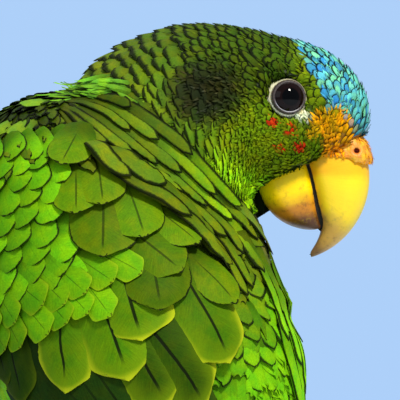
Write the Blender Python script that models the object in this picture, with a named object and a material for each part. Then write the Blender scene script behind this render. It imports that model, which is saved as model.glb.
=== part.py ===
"""An amazon parrot as a still, life-size model, standing and looking back over its right shoulder.

+Z up. The trunk faces +Y and the bird's right is +X. The floor is z = 0, and the origin is on it,
under the middle of the whole bird. The bird is built in its own frame, whose origin is on the floor
under the fullest part of the trunk, and the empty "amazon_parrot" puts that frame in place.
Everything is worked out in millimetres, and the finished solids are scaled to metres.
"""

import math

import bmesh
import bpy
from mathutils import Matrix, Vector

METRES_PER_MM = 0.001
GAP = 0.3

# Where the bird's own frame stands, so that the origin is under the middle of its outline.
PLACE = (-3.84, 34.38, 0.0)

# The head: where it is, which way it looks and how far it bows.
EYE_LEVEL = Vector((29.0, -23.6, 160.5))
HEAD_TURN = math.radians(140)
HEAD_NOD = math.radians(25)

# Trunk sections from tail root to shoulders, in millimetres and degrees:
# x, y, z of the centre, half width, depth to the back, depth to the belly, turn.
TRUNK = (
    (0, -43, 46.5, 10, 5.5, 6.0, 0),
    (0, -37, 51, 14, 8.5, 11, 0),
    (0, -27, 60, 22, 16.5, 21, 0),
    (0, -16, 72, 29.5, 27, 32, 0),
    (0, -7, 86, 34, 35.5, 37.5, 0),
    (0, 0, 100, 35, 37.5, 38.5, 0),
    (0, 5, 113, 35, 35.5, 36.5, 0),
    (0, 8.5, 124, 35, 33, 34.5, 0),
    (0, 11.5, 136, 34, 31, 33, 0),
    (0, 13.5, 146, 31, 28.5, 31, 0),
    (0, 15, 154.3, 26, 23.5, 26.5, 0),
    (0, 15.8, 159.5, 18.5, 16.5, 19, 0),
    (0, 16, 162.6, 7.5, 6, 7.5, 0),
)

# Neck sections from inside the trunk to inside the head, as the trunk's, with their backs to the nape.
NECK = (
    (1.0, 8.0, 130, 20, 20, 20, 140),
    (6.2, 1.8, 143.5, 26, 25.8, 26, 140),
    (12.0, -5.1, 152, 24.3, 25.2, 24.5, 140),
    (18.3, -12.6, 157.4, 20.5, 21.5, 20, 140),
    (23.2, -18.5, 159.8, 14, 15, 14, 140),
)

# Head sections from the face to the nape, in the head's own frame, whose origin is between the eyes:
# distance forward of the eyes, crown height, throat height, half width.
HEAD = (
    (21.2, -2.8, -7.4, 4.0),
    (20.0, 1.2, -9.0, 6.2),
    (17.2, 5.8, -10.8, 8.9),
    (12.5, 10.2, -13.6, 11.8),
    (6.5, 13.0, -20.5, 14.0),
    (0.0, 13.7, -25.5, 15.6),
    (-8.0, 12.7, -28.0, 17.4),
    (-17.0, 10.9, -28.0, 18.6),
    (-26.0, 7.2, -25.0, 18.4),
    (-33.0, 2.6, -20.0, 15.6),
    (-38.0, -4.0, -12.0, 8.0),
)

# The bill. The culmen, its upper ridge, is one arc in the head's frame.
CULMEN_CENTRE = (7.5, -17.5)
CULMEN_RADIUS = 20.2
CULMEN_START = math.radians(32)
CULMEN_END = math.radians(-50.5)
# Upper bill: share of the culmen, forward and height of the cutting edge, half width.
UPPER_BILL = (
    (-0.16, 8.4, -9.0, 7.4),
    (0.0, 9.6, -11.6, 8.0),
    (0.25, 12.8, -15.4, 7.9),
    (0.50, 17.2, -21.0, 6.5),
    (0.62, 19.4, -23.4, 5.0),
    (0.72, 20.4, -25.6, 3.7),
    (0.86, 20.6, -28.9, 2.0),
    (0.97, 20.2, -31.4, 0.8),
)
# Lower bill: forward and height of the mouth line, forward and height of the keel, half width.
LOWER_BILL = (
    (7.2, -11.0, 1.8, -22.0, 6.4),
    (10.0, -12.4, 4.0, -24.6, 7.2),
    (13.4, -16.4, 7.6, -26.9, 7.1),
    (16.6, -20.6, 12.0, -27.8, 6.3),
    (19.0, -23.4, 16.4, -27.2, 4.9),
    (20.2, -24.9, 19.0, -26.0, 3.2),
)
# Cere: share of the culmen where it starts and ends, how far it stands proud, and its nostrils.
CERE_SHARES = (-0.28, -0.21, -0.14, -0.07, -0.015)
CERE_SWELL = 1.1
NOSTRIL_RADIUS = 0.8
NOSTRIL_AT = (20.0, -5.0)

# Eyes and the bare rings round them, in the head's frame.
EYE_RADIUS = 5.0
EYE_AXIS = Vector((1, 0.22, 0.17)).normalized()
EYE_AT = Vector((15.2, 0, 0)) - 4.0 * EYE_AXIS
EYE_RING_RADIUS = 4.7
EYE_RING_THICK = 0.75
EYE_RING_PROUD = 3.75

# The surface that the folded wings lie on: as the trunk's rows, but on along the tail.
WING_BED = (
    (0, 14, 152, 29.8, 27.2, 30.4, 0),
    (0, 12, 140, 34.0, 31.4, 33.4, 0),
    (0, 8.5, 124, 35.6, 33.6, 35, 0),
    (0, 5, 113, 35.6, 36.1, 37, 0),
    (0, 0, 100, 35.6, 38.1, 39, 0),
    (0, -7, 86, 34.6, 36.1, 38, 0),
    (0, -16, 72, 30.2, 28, 33, 0),
    (0, -27, 60.5, 23.5, 19, 22, 0),
    (0, -42, 49, 17.5, 11, 12, 0),
    (0, -58, 38.0, 14.5, 7.2, 9, 0),
    (0, -74, 27.5, 12.5, 5.6, 7.5, 0),
    (0, -90, 17.0, 10, 4.8, 6.5, 0),
)
# Folded wing outline: place along the bed, degrees from the back's middle to its top and lower edges.
WING_OUTLINE = (
    (0.30, 64, 88),
    (0.6, 46, 108),
    (1.0, 30, 116),
    (1.5, 18, 118),
    (2.0, 11, 118),
    (3.0, 8, 115),
    (4.0, 10, 112),
    (5.0, 14, 107),
    (6.0, 18, 100),
    (7.0, 18, 90),
    (8.0, 17, 80),
    (9.0, 20, 74),
    (10.0, 24, 68),
    (10.8, 34, 56),
)
# Wing parts: name, start and end along the bed, thickness at each end in millimetres.
WING_PARTS = (
    ("coverts", 0.32, 4.2, 1.6, 2.4),
    ("secondaries", 4.25, 7.3, 2.6, 2.6),
    ("primaries", 7.35, 10.78, 2.2, 1.1),
)
WING_EDGE = 0.7
# How far the shoulder beneath the turned head stands clear of the cheek.
CHEEK_CLEARANCE = 4.5

# Tail: root and tip of its middle line, and sections as share of its length, half width, half thickness, droop.
TAIL_ROOT = Vector((0, -44.2, 45.6))
TAIL_TIP = Vector((0, -112.5, 0.55))
TAIL = (
    (0.0, 9.0, 2.6, 1.0),
    (0.15, 12.0, 2.5, 1.5),
    (0.5, 15.0, 2.0, 2.0),
    (0.8, 16.5, 1.4, 1.6),
    (0.92, 15.5, 1.1, 1.0),
    (0.98, 12.5, 0.9, 0.6),
    (1.0, 9.5, 0.8, 0.4),
)

# Legs, for the right side: sections of the feathered thigh and of the bare shank, as the trunk's rows.
THIGH = (
    (16, 0, 84, 10, 14, 14, 0),
    (18, 6, 68, 11.5, 14.5, 14.5, 0),
    (18.5, 5, 52, 9.2, 11, 11.5, 0),
    (18, 0.5, 38, 6.2, 7, 7.5, 0),
    (17.5, -2.6, 27, 3.9, 4.2, 4.4, 0),
    (17.4, -3.3, 24.4, 2.6, 2.8, 2.8, 0),
)
SHANK = (
    (17.4, -3.5, 22.9, 2.2, 2.4, 2.4, 0),
    (17.4, -3.2, 20.5, 2.9, 3.2, 3.1, 0),
    (17.4, -1.6, 15.5, 2.4, 2.7, 2.5, 0),
    (17.4, 0.4, 10.0, 2.7, 3.0, 2.8, 0),
    (17.4, 2.0, 5.6, 4.6, 5.0, 4.6, 0),
    (17.4, 2.8, 2.4, 5.0, 5.4, 5.0, 0),
    (17.4, 3.0, -0.8, 3.9, 4.3, 3.9, 0),
)
FOOT_CENTRE = Vector((17.4, 2.8, 0))
PALM_RADIUS = 5.6
# Toes of the right foot: name, heading in degrees to the right of ahead, length with no claw, radius at the root.
TOES = (
    ("inner_front", -16, 15.5, 1.95),
    ("outer_front", 24, 21.5, 2.05),
    ("outer_rear", 146, 18.5, 1.95),
    ("inner_rear", -158, 11.5, 1.85),
)
TOE_PADS = 3
TOE_TIP_SHARE = 0.72
CLAW_LENGTH = 8.0
CLAW_RADIUS = 1.15

AROUND_TRUNK = 22
AROUND_HEAD = 20
RINGS_PER_STATION = 2
SECTION_POWER = 2.15


# ---------------------------------------------------------------- smooth sections and lofts


def smooth(rows, place):
    """The row of numbers at a place along rows, on a smooth curve through all of them."""
    first = max(0, min(int(place), len(rows) - 2))
    share = place - first
    before = rows[max(first - 1, 0)]
    start, end = rows[first], rows[first + 1]
    after = rows[min(first + 2, len(rows) - 1)]
    return [
        b
        + 0.5 * share * (c - a + share * (2 * a - 5 * b + 4 * c - d + share * (3 * (b - c) + d - a)))
        for a, b, c, d in zip(before, start, end, after)
    ]


def along_key(rows, key):
    """The other numbers of rows whose first number is key, rows being in rising order of it."""
    for first in range(len(rows) - 1):
        low, high = rows[first][0], rows[first + 1][0]
        if key <= high or first == len(rows) - 2:
            return smooth(rows, first + (key - low) / (high - low))[1:]


def rounded(sine, cosine, power):
    """Sine and cosine pushed out towards a square, as round a superellipse."""
    return (
        math.copysign(abs(sine) ** (2 / power), sine),
        math.copysign(abs(cosine) ** (2 / power), cosine),
    )


class Sleeve:
    """A surface of rounded sections along a smooth path. Places are row numbers, and may be fractions."""

    def __init__(self, rows, side=1):
        self.rows = rows
        self.side = side

    def centre(self, place):
        x, y, z = smooth(self.rows, place)[:3]
        return Vector((self.side * x, y, z))

    def axes(self, place):
        """Unit vectors along the path, to the bird's right and to its back."""
        reach = 0.05
        low = max(place - reach, 0)
        high = min(place + reach, len(self.rows) - 1)
        along = (self.centre(high) - self.centre(low)).normalized()
        turn = math.radians(smooth(self.rows, place)[6])
        behind = Vector((-math.sin(turn), -math.cos(turn), 0))
        back = (behind - along * behind.dot(along)).normalized()
        return along, along.cross(back), back

    def point(self, place, angle, lift=0.0):
        """The surface point at an angle from the back's middle line, positive to the right."""
        half_width, back_depth, belly_depth = smooth(self.rows, place)[3:6]
        _, right, back = self.axes(place)
        sine, cosine = rounded(math.sin(angle), math.cos(angle), SECTION_POWER)
        depth = back_depth if cosine > 0 else belly_depth
        return (
            self.centre(place)
            + right * sine * (half_width + lift)
            + back * cosine * (depth + lift)
        )

    def rings(self, per_station, around, lift=0.0):
        steps = (len(self.rows) - 1) * per_station
        for step in range(steps + 1):
            place = step / per_station
            yield [self.point(place, math.tau * k / around, lift) for k in range(around)]


def mesh_object(name, bm):
    """A new object with this bmesh's faces turned outwards and shaded smooth."""
    bm.normal_update()
    bmesh.ops.recalc_face_normals(bm, faces=bm.faces)
    mesh = bpy.data.meshes.new(name)
    bm.to_mesh(mesh)
    bm.free()
    mesh.shade_smooth()
    mesh.set_sharp_from_angle(angle=math.radians(50))
    obj = bpy.data.objects.new(name, mesh)
    bpy.context.scene.collection.objects.link(obj)
    return obj


def loft(name, rings):
    """A closed solid through rings of as many points each, its ends filled by fans.

    It is made of triangles, since a Boolean can leave a hole where it cuts a bent four-sided face.
    """
    bm = bmesh.new()
    loops = [[bm.verts.new(p) for p in ring] for ring in rings]
    count = len(loops[0])
    for lower, upper in zip(loops, loops[1:]):
        for k in range(count):
            after = (k + 1) % count
            bm.faces.new((lower[k], lower[after], upper[after]))
            bm.faces.new((lower[k], upper[after], upper[k]))
    for ring in (loops[0], loops[-1]):
        middle = bm.verts.new(sum((v.co for v in ring), Vector()) / count)
        for k in range(count):
            bm.faces.new((ring[k], ring[(k + 1) % count], middle))
    return mesh_object(name, bm)


def shell(name, inner, outer):
    """A closed solid between two grids of points of the same size."""
    bm = bmesh.new()
    grids = [[[bm.verts.new(p) for p in row] for row in grid] for grid in (inner, outer)]
    last_row, last_column = len(inner) - 1, len(inner[0]) - 1
    for grid in grids:
        for r in range(last_row):
            for c in range(last_column):
                bm.faces.new((grid[r][c], grid[r][c + 1], grid[r + 1][c + 1]))
                bm.faces.new((grid[r][c], grid[r + 1][c + 1], grid[r + 1][c]))
    below, above = grids
    rim = (
        [(0, c) for c in range(last_column)]
        + [(r, last_column) for r in range(last_row)]
        + [(last_row, c) for c in range(last_column, 0, -1)]
        + [(r, 0) for r in range(last_row, 0, -1)]
    )
    for (r0, c0), (r1, c1) in zip(rim, rim[1:] + rim[:1]):
        bm.faces.new((below[r0][c0], below[r1][c1], above[r1][c1]))
        bm.faces.new((below[r0][c0], above[r1][c1], above[r0][c0]))
    return mesh_object(name, bm)


# ---------------------------------------------------------------- cutting and joining


def apply_modifiers(obj):
    bpy.context.view_layer.update()
    evaluated = obj.evaluated_get(bpy.context.evaluated_depsgraph_get())
    mesh = bpy.data.meshes.new_from_object(evaluated)
    obj.modifiers.clear()
    obj.data = mesh


def combine(obj, tool, operation, keep_tool=False):
    """Cuts, joins or trims obj with the solid tool."""
    modifier = obj.modifiers.new(operation.lower(), "BOOLEAN")
    modifier.operation = operation
    modifier.solver = "EXACT"
    modifier.object = tool
    apply_modifiers(obj)
    if not keep_tool:
        bpy.data.objects.remove(tool)


def drop_flakes(obj):
    """Keeps only the largest of obj's bodies, where a cut has left thin flakes."""
    bm = bmesh.new()
    bm.from_mesh(obj.data)
    bodies, unseen = [], set(bm.verts)
    while unseen:
        front = [unseen.pop()]
        body = set(front)
        while front:
            near = {edge.other_vert(v) for v in front for edge in v.link_edges} & unseen
            unseen -= near
            body |= near
            front = list(near)
        bodies.append(body)
    largest = max(bodies, key=len)
    bmesh.ops.delete(bm, geom=[v for v in bm.verts if v not in largest], context="VERTS")
    bm.to_mesh(obj.data)
    bm.free()


def copy_of(obj, name):
    twin = bpy.data.objects.new(name, obj.data.copy())
    bpy.context.scene.collection.objects.link(twin)
    return twin


def flatten_below(obj, height):
    """Cuts obj off flat at a height."""
    bm = bmesh.new()
    bm.from_mesh(obj.data)
    everything = bm.verts[:] + bm.edges[:] + bm.faces[:]
    bmesh.ops.bisect_plane(bm, geom=everything, plane_co=(0, 0, height), plane_no=(0, 0, -1), clear_outer=True)
    open_edges = [e for e in bm.edges if e.is_boundary]
    bmesh.ops.holes_fill(bm, edges=open_edges)
    bm.to_mesh(obj.data)
    bm.free()


def half_space(point, normal, size=400):
    """A big cube whose one face passes through point, and which lies on the normal's side of it."""
    bm = bmesh.new()
    bmesh.ops.create_cube(bm, size=size)
    turn = Vector(normal).to_track_quat("Z", "Y").to_matrix().to_4x4()
    bm.transform(Matrix.Translation(point) @ turn @ Matrix.Translation((0, 0, size / 2)))
    return mesh_object("half_space", bm)


# ---------------------------------------------------------------- head frame


def head_matrix():
    """From the head's frame, where +Y is forward and +Z is up, to the bird's."""
    turn = Matrix.Rotation(-HEAD_TURN, 4, "Z")
    nod = Matrix.Rotation(-HEAD_NOD, 4, "X")
    return Matrix.Translation(EYE_LEVEL) @ turn @ nod


def in_head(obj):
    obj.data.transform(head_matrix())
    return obj


def head_ring(forward, crown, throat, half_width):
    """A section of the head. It is widest a little under half way up, at the cheeks."""
    cheek = throat + 0.48 * (crown - throat)
    ring = []
    for k in range(AROUND_HEAD):
        angle = math.tau * k / AROUND_HEAD
        sine, cosine = rounded(math.sin(angle), math.cos(angle), 2.25)
        height = crown - cheek if cosine > 0 else cheek - throat
        ring.append(Vector((half_width * sine, forward, cheek + height * cosine)))
    return ring


def skull(lift=0.0):
    steps = (len(HEAD) - 1) * 2
    rings = []
    for step in range(steps + 1):
        forward, crown, throat, half_width = smooth(HEAD, step / 2)
        rings.append(head_ring(forward, crown + lift, throat - lift, half_width + lift))
    return in_head(loft("skull", rings))


def bill_section(ridge, edge, half_width, ridge_power, edge_power, count=14):
    """A section across the bill, from its ridge to its edge, both given as forward and height."""
    middle = (ridge + edge) / 2
    half = (ridge - edge) / 2
    ring = []
    for k in range(count):
        angle = math.tau * k / count
        power = ridge_power if math.cos(angle) > 0 else edge_power
        sine, cosine = rounded(math.sin(angle), math.cos(angle), power)
        at = middle + half * cosine
        ring.append(Vector((half_width * sine, at.x, at.y)))
    return ring


def culmen(share):
    angle = CULMEN_START + share * (CULMEN_END - CULMEN_START)
    centre = Vector(CULMEN_CENTRE)
    return centre + CULMEN_RADIUS * Vector((math.cos(angle), math.sin(angle)))


def upper_ring(share, lift=0.0):
    edge_forward, edge_height, half_width = along_key(UPPER_BILL, share)
    ridge = culmen(share)
    edge = Vector((edge_forward, edge_height))
    out = (ridge - edge).normalized() * lift
    return bill_section(ridge + out, edge - out, half_width + lift, 2.1, 3.2)


def upper_bill(lift=0.0):
    count = 12
    first, last = UPPER_BILL[0][0], UPPER_BILL[-1][0]
    shares = [first + (last - first) * k / count for k in range(count + 1)]
    return in_head(loft("bill_upper", [upper_ring(share, lift) for share in shares]))


def lower_bill(lift=0.0):
    rings = []
    for step in range((len(LOWER_BILL) - 1) * 2 + 1):
        mouth_forward, mouth_height, keel_forward, keel_height, half_width = smooth(LOWER_BILL, step / 2)
        mouth = Vector((mouth_forward, mouth_height))
        keel = Vector((keel_forward, keel_height))
        out = (keel - mouth).normalized() * lift
        rings.append(bill_section(keel + out, mouth - out, half_width + lift, 2.3, 4.0))
    return in_head(loft("bill_lower", rings))


def cere(lift=0.0):
    """The swollen band over the root of the upper bill, with the nostrils bored in it."""
    rings = []
    for place, share in enumerate(CERE_SHARES):
        at_end = place in (0, len(CERE_SHARES) - 1)
        swell = lift + CERE_SWELL * (0.45 if at_end else 1)
        ridge = culmen(share)
        edge = Vector((14.2, ridge.y - 3.4))
        out = (ridge - edge).normalized() * swell
        width = (6.9 + 3.2 * share) + swell
        rings.append(bill_section(ridge + out, edge, width, 2.2, 3.0))
    return in_head(loft("cere", rings))


def nostrils():
    """A rod across the head, which bores both nostrils."""
    bpy.ops.mesh.primitive_cylinder_add(radius=NOSTRIL_RADIUS, depth=30, vertices=12)
    rod = bpy.context.object
    across = Matrix.Rotation(math.pi / 2, 4, "Y")
    rod.data.transform(Matrix.Translation((0, *NOSTRIL_AT)) @ across)
    return in_head(rod)


def eye_place(side):
    """Puts what is made round the Z axis on one side of the head, looking out along the eye's axis."""
    mirror = Matrix.Diagonal((side, 1, 1, 1))
    return mirror @ Matrix.Translation(EYE_AT) @ EYE_AXIS.to_track_quat("Z", "Y").to_matrix().to_4x4()


def eye(side, lift=0.0):
    bm = bmesh.new()
    bmesh.ops.create_uvsphere(bm, u_segments=12, v_segments=8, radius=EYE_RADIUS + lift)
    bm.transform(eye_place(side))
    return in_head(mesh_object("eye", bm))


def eye_ring(side, lift=0.0):
    """The bare skin round the eye, as a flattened ring."""
    around, across = 16, 6
    bm = bmesh.new()
    loops = []
    for a in range(around):
        out = Vector((math.cos(math.tau * a / around), math.sin(math.tau * a / around), 0))
        loop = []
        for c in range(across):
            turn = math.tau * c / across
            reach = EYE_RING_RADIUS + (EYE_RING_THICK + lift) * math.cos(turn)
            loop.append(bm.verts.new(out * reach + Vector((0, 0, EYE_RING_PROUD + (EYE_RING_THICK + lift) * math.sin(turn)))))
        loops.append(loop)
    for a, loop in enumerate(loops):
        following = loops[(a + 1) % around]
        for c in range(across):
            after = (c + 1) % across
            bm.faces.new((loop[c], following[c], following[after], loop[after]))
    bm.transform(eye_place(side))
    return in_head(mesh_object("eye_ring", bm))


# ---------------------------------------------------------------- trunk, wings, tail and legs


def flesh():
    """Trunk, neck and head as one solid."""
    body = loft("flesh", Sleeve(TRUNK).rings(RINGS_PER_STATION, AROUND_TRUNK))
    combine(body, loft("neck", Sleeve(NECK).rings(RINGS_PER_STATION, AROUND_TRUNK)), "UNION")
    combine(body, skull(), "UNION")
    return body


def trunk_cutter():
    """The trunk a gap larger all round, to cut what lies on it."""
    return loft("trunk_cutter", Sleeve(TRUNK).rings(RINGS_PER_STATION, AROUND_TRUNK, lift=GAP))


def wing_grid(side, start, end, thickness_start, thickness_end):
    """Inner and outer grids of a wing part, which lies a gap off the bed and thins to its edges.

    The bed runs down the bird, so its angles count the other way round.
    """
    bed = Sleeve(WING_BED)
    rows, columns = 6, 8
    inner, outer = [], []
    for r in range(rows + 1):
        share = r / rows
        place = start + (end - start) * share
        top, bottom = along_key(WING_OUTLINE, place)
        thickness = (thickness_start + (thickness_end - thickness_start) * share)
        inner_row, outer_row = [], []
        for c in range(columns + 1):
            across = c / columns
            angle = -side * math.radians(top + (bottom - top) * across)
            swell = 1 - abs(2 * across - 1) ** 3
            inner_row.append(bed.point(place, angle, GAP))
            outer_row.append(bed.point(place, angle, GAP + WING_EDGE + (thickness - WING_EDGE) * swell))
        inner.append(inner_row)
        outer.append(outer_row)
    return inner, outer


def wing_parts(side, side_name):
    parts = []
    for part_name, *span in WING_PARTS:
        parts.append(shell(f"wing_{side_name}_{part_name}", *wing_grid(side, *span)))
    neck = loft("neck", Sleeve(NECK).rings(RINGS_PER_STATION, AROUND_TRUNK, 1.5 * GAP))
    combine(parts[0], neck, "DIFFERENCE")
    combine(parts[0], skull(lift=CHEEK_CLEARANCE), "DIFFERENCE")
    drop_flakes(parts[0])
    return parts


def tail():
    """The closed tail: flat sections, roofed from side to side, down to the floor at its tip."""
    line = TAIL_TIP - TAIL_ROOT
    along = line.normalized()
    up = Vector((1, 0, 0)).cross(along).normalized()
    up = up if up.z > 0 else -up
    rings = []
    count = 16
    for share in (0, 0.07, 0.15, 0.3, 0.45, 0.6, 0.75, 0.86, 0.93, 0.97, 1):
        half_width, half_thick, droop = along_key(TAIL, share)
        centre = TAIL_ROOT + line * share
        ring = []
        for k in range(count):
            sine, cosine = rounded(math.sin(math.tau * k / count), math.cos(math.tau * k / count), 2.6)
            height = half_thick * cosine - droop * sine * sine
            ring.append(centre + Vector((half_width * sine, 0, 0)) + up * height)
        rings.append(ring)
    solid = loft("tail", rings)
    flatten_below(solid, 0.0)
    return solid


def thigh(side, side_name):
    solid = loft(f"leg_{side_name}_thigh", Sleeve(THIGH, side).rings(2, 12))
    combine(solid, trunk_cutter(), "DIFFERENCE")
    return solid


def shank(side, side_name):
    solid = loft(f"leg_{side_name}_shank", Sleeve(SHANK, side).rings(1, 10))
    flatten_below(solid, 0.0)
    return solid


def toe_ring(centre, ahead, radius, count=7):
    across = ahead.cross(Vector((0, 0, 1))).normalized()
    up = across.cross(ahead)
    turns = [math.tau * k / count for k in range(count)]
    return [centre + across * radius * math.sin(a) + up * radius * math.cos(a) for a in turns]


def toe_and_claw(side, side_name, toe_name, heading, length, root_radius):
    """One toe with its pads, flat where it meets the floor, and the claw that curves down from it."""
    foot = Vector((side * FOOT_CENTRE.x, FOOT_CENTRE.y, 0))
    angle = side * math.radians(heading)
    ahead = Vector((math.sin(angle), math.cos(angle), 0))
    steps = TOE_PADS * 2
    rings = []
    for step in range(steps + 1):
        share = step / steps
        pad = 1 + 0.10 * math.cos(math.tau * TOE_PADS * share)
        end = 0.72 if step in (0, steps) else 1.0
        radius = root_radius * (1 - (1 - TOE_TIP_SHARE) * share) * pad * end
        height = (root_radius * (1 - (1 - TOE_TIP_SHARE) * share) * 0.93)
        centre = foot + ahead * (PALM_RADIUS + GAP + share * length) + Vector((0, 0, height))
        rings.append(toe_ring(centre, ahead, radius))
    toe = loft(f"leg_{side_name}_toe_{toe_name}", rings)
    flatten_below(toe, 0.0)
    tip = centre + ahead * (GAP + 0.1)
    claw_rings = []
    claw_steps = 4
    reach = math.radians(62)
    bow = CLAW_LENGTH / reach
    for step in range(claw_steps + 1):
        share = step / claw_steps
        bend = reach * share
        rise = 0.9 * math.sin(math.pi * share)
        drop = (height - 0.35) * share**1.6
        at = tip + ahead * bow * math.sin(bend) + Vector((0, 0, rise - drop))
        facing = (ahead * math.cos(bend * 0.7) - Vector((0, 0, math.sin(bend * 0.7)))).normalized()
        claw_rings.append(toe_ring(at, facing, CLAW_RADIUS * (1 - share) ** 0.8 + 0.22, count=6))
    claw = loft(f"leg_{side_name}_claw_{toe_name}", claw_rings)
    flatten_below(claw, 0.05)
    return toe, claw


# ---------------------------------------------------------------- materials and assembly

COLOURS = {
    "plumage_green": ((0.16, 0.34, 0.03), 0.65),
    "plumage_wing": ((0.15, 0.33, 0.03), 0.6),
    "plumage_head": ((0.14, 0.28, 0.03), 0.65),
    "plumage_tail": ((0.12, 0.30, 0.04), 0.6),
    "bill_horn": ((0.80, 0.56, 0.10), 0.35),
    "bill_lower_horn": ((0.66, 0.42, 0.10), 0.38),
    "cere_skin": ((0.85, 0.48, 0.10), 0.6),
    "eye_glass": ((0.02, 0.015, 0.02), 0.05),
    "eye_ring_skin": ((0.72, 0.70, 0.58), 0.5),
    "leg_skin": ((0.30, 0.28, 0.25), 0.6),
    "claw_horn": ((0.10, 0.09, 0.08), 0.4),
}


def paint(obj, colour_name):
    """Gives obj the named colour, as its only material."""
    material = bpy.data.materials.get(colour_name)
    if material is None:
        colour, roughness = COLOURS[colour_name]
        material = bpy.data.materials.new(colour_name)
        material.use_nodes = True
        surface = material.node_tree.nodes["Principled BSDF"]
        surface.inputs["Base Color"].default_value = (*colour, 1)
        surface.inputs["Roughness"].default_value = roughness
        surface.inputs["Metallic"].default_value = 0.0
    obj.data.materials.clear()
    obj.data.materials.append(material)
    for polygon in obj.data.polygons:
        polygon.material_index = 0


def part_flesh(body):
    """Head, neck and trunk, parted from the one solid by two thin cuts."""
    neck = Sleeve(NECK)
    cuts = []
    for place, lean in ((3.1, 0.35), (0.62, 0.0)):
        along, _, _ = neck.axes(place)
        along = (along + lean * Vector((0.643, -0.766, 0))).normalized()
        cuts.append((neck.centre(place), along))
    (head_at, head_along), (neck_at, neck_along) = cuts
    parts = {name: copy_of(body, name) for name in ("head", "neck", "trunk")}
    combine(parts["head"], half_space(head_at + head_along * GAP / 2, head_along), "INTERSECT")
    combine(parts["neck"], half_space(head_at - head_along * GAP / 2, -head_along), "INTERSECT")
    combine(parts["neck"], half_space(neck_at + neck_along * GAP / 2, neck_along), "INTERSECT")
    combine(parts["trunk"], half_space(neck_at - neck_along * GAP / 2, -neck_along), "INTERSECT")
    bpy.data.objects.remove(body)
    return parts


def build_head(head):
    """Fits bill, cere, eyes and eye rings to the head, and returns them."""
    cutter = upper_bill(GAP)
    combine(cutter, cere(GAP), "UNION")
    combine(cutter, lower_bill(GAP), "UNION")
    combine(head, cutter, "DIFFERENCE")
    upper, lower, band = upper_bill(), lower_bill(), cere()
    combine(lower, upper_bill(GAP), "DIFFERENCE")
    combine(band, upper_bill(GAP), "DIFFERENCE")
    combine(band, nostrils(), "DIFFERENCE")
    paint(upper, "bill_horn")
    paint(lower, "bill_lower_horn")
    paint(band, "cere_skin")
    found = [upper, lower, band]
    for side, side_name in ((1, "right"), (-1, "left")):
        socket = eye(side, GAP)
        combine(socket, eye_ring(side, GAP), "UNION")
        combine(head, socket, "DIFFERENCE")
        ball, ring = eye(side), eye_ring(side)
        ball.name, ring.name = f"eye_{side_name}", f"eye_ring_{side_name}"
        paint(ball, "eye_glass")
        paint(ring, "eye_ring_skin")
        found += [ball, ring]
    drop_flakes(head)
    return found


def build_side(side, side_name):
    """One side's wing and leg."""
    found = []
    for part in wing_parts(side, side_name):
        paint(part, "plumage_wing")
        found.append(part)
    feathered, bare = thigh(side, side_name), shank(side, side_name)
    paint(feathered, "plumage_green")
    paint(bare, "leg_skin")
    found += [feathered, bare]
    for toe_row in TOES:
        toe, claw = toe_and_claw(side, side_name, *toe_row)
        paint(toe, "leg_skin")
        paint(claw, "claw_horn")
        found += [toe, claw]
    return found


def build():
    for obj in list(bpy.data.objects):
        bpy.data.objects.remove(obj)
    parts = part_flesh(flesh())
    paint(parts["head"], "plumage_head")
    paint(parts["neck"], "plumage_head")
    paint(parts["trunk"], "plumage_green")
    nodes = [*parts.values(), *build_head(parts["head"])]
    rectrices = tail()
    paint(rectrices, "plumage_tail")
    nodes.append(rectrices)
    for side, side_name in ((1, "right"), (-1, "left")):
        nodes += build_side(side, side_name)
    collection = bpy.data.collections.new("amazon_parrot")
    bpy.context.scene.collection.children.link(collection)
    stance = bpy.data.objects.new("amazon_parrot", None)
    stance.location = Vector(PLACE) * METRES_PER_MM
    collection.objects.link(stance)
    for node in nodes:
        for holder in list(node.users_collection):
            holder.objects.unlink(node)
        collection.objects.link(node)
        node.parent = stance
        node.data.transform(Matrix.Scale(METRES_PER_MM, 4))


build()
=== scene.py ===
"""A yellow-lored amazon parrot, life size, standing and looking back over its right shoulder."""

import math

import bmesh
import bpy
import numpy as np
from mathutils import Matrix, Vector
from mathutils.bvhtree import BVHTree
from mathutils.kdtree import KDTree


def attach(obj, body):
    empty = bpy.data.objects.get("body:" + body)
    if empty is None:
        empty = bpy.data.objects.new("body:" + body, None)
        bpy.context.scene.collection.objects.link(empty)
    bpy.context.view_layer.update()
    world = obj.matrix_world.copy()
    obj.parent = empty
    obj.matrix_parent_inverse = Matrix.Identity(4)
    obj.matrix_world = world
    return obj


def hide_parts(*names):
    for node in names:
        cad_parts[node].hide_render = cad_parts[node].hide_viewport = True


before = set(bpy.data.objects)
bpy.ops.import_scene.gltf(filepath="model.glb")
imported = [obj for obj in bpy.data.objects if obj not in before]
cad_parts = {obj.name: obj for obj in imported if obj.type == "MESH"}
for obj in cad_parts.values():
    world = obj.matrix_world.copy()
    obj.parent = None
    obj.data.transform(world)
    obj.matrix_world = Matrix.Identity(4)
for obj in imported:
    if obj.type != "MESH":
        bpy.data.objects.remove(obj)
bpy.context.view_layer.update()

# ---------------------------------------------------------------- the bird's own measures, in mm

MM = 0.001
PLACE = np.array((-3.84, 34.38, 0.0))  # from the bird's frame to the room's
EYE_LEVEL = np.array((29.0, -23.6, 160.5))
HEAD_TURN = math.radians(140)
HEAD_NOD = math.radians(25)

AHEAD = np.array((math.sin(HEAD_TURN), math.cos(HEAD_TURN), 0.0))  # level, the way the head faces
UP = np.array((0.0, 0.0, 1.0))
HEAD_RIGHT = np.cross(AHEAD, UP)
HEAD_FORWARD = AHEAD * math.cos(HEAD_NOD) - UP * math.sin(HEAD_NOD)
HEAD_UP = AHEAD * math.sin(HEAD_NOD) + UP * math.cos(HEAD_NOD)

FLESH = ["head", "neck", "trunk", "wing_right_coverts", "wing_left_coverts", "leg_right_thigh", "leg_left_thigh"]
SIDES = (("right", 1), ("left", -1))


def room(points):
    """From millimetres in the bird's frame to metres in the room."""
    return (np.asarray(points, float) + PLACE) * MM


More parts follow.
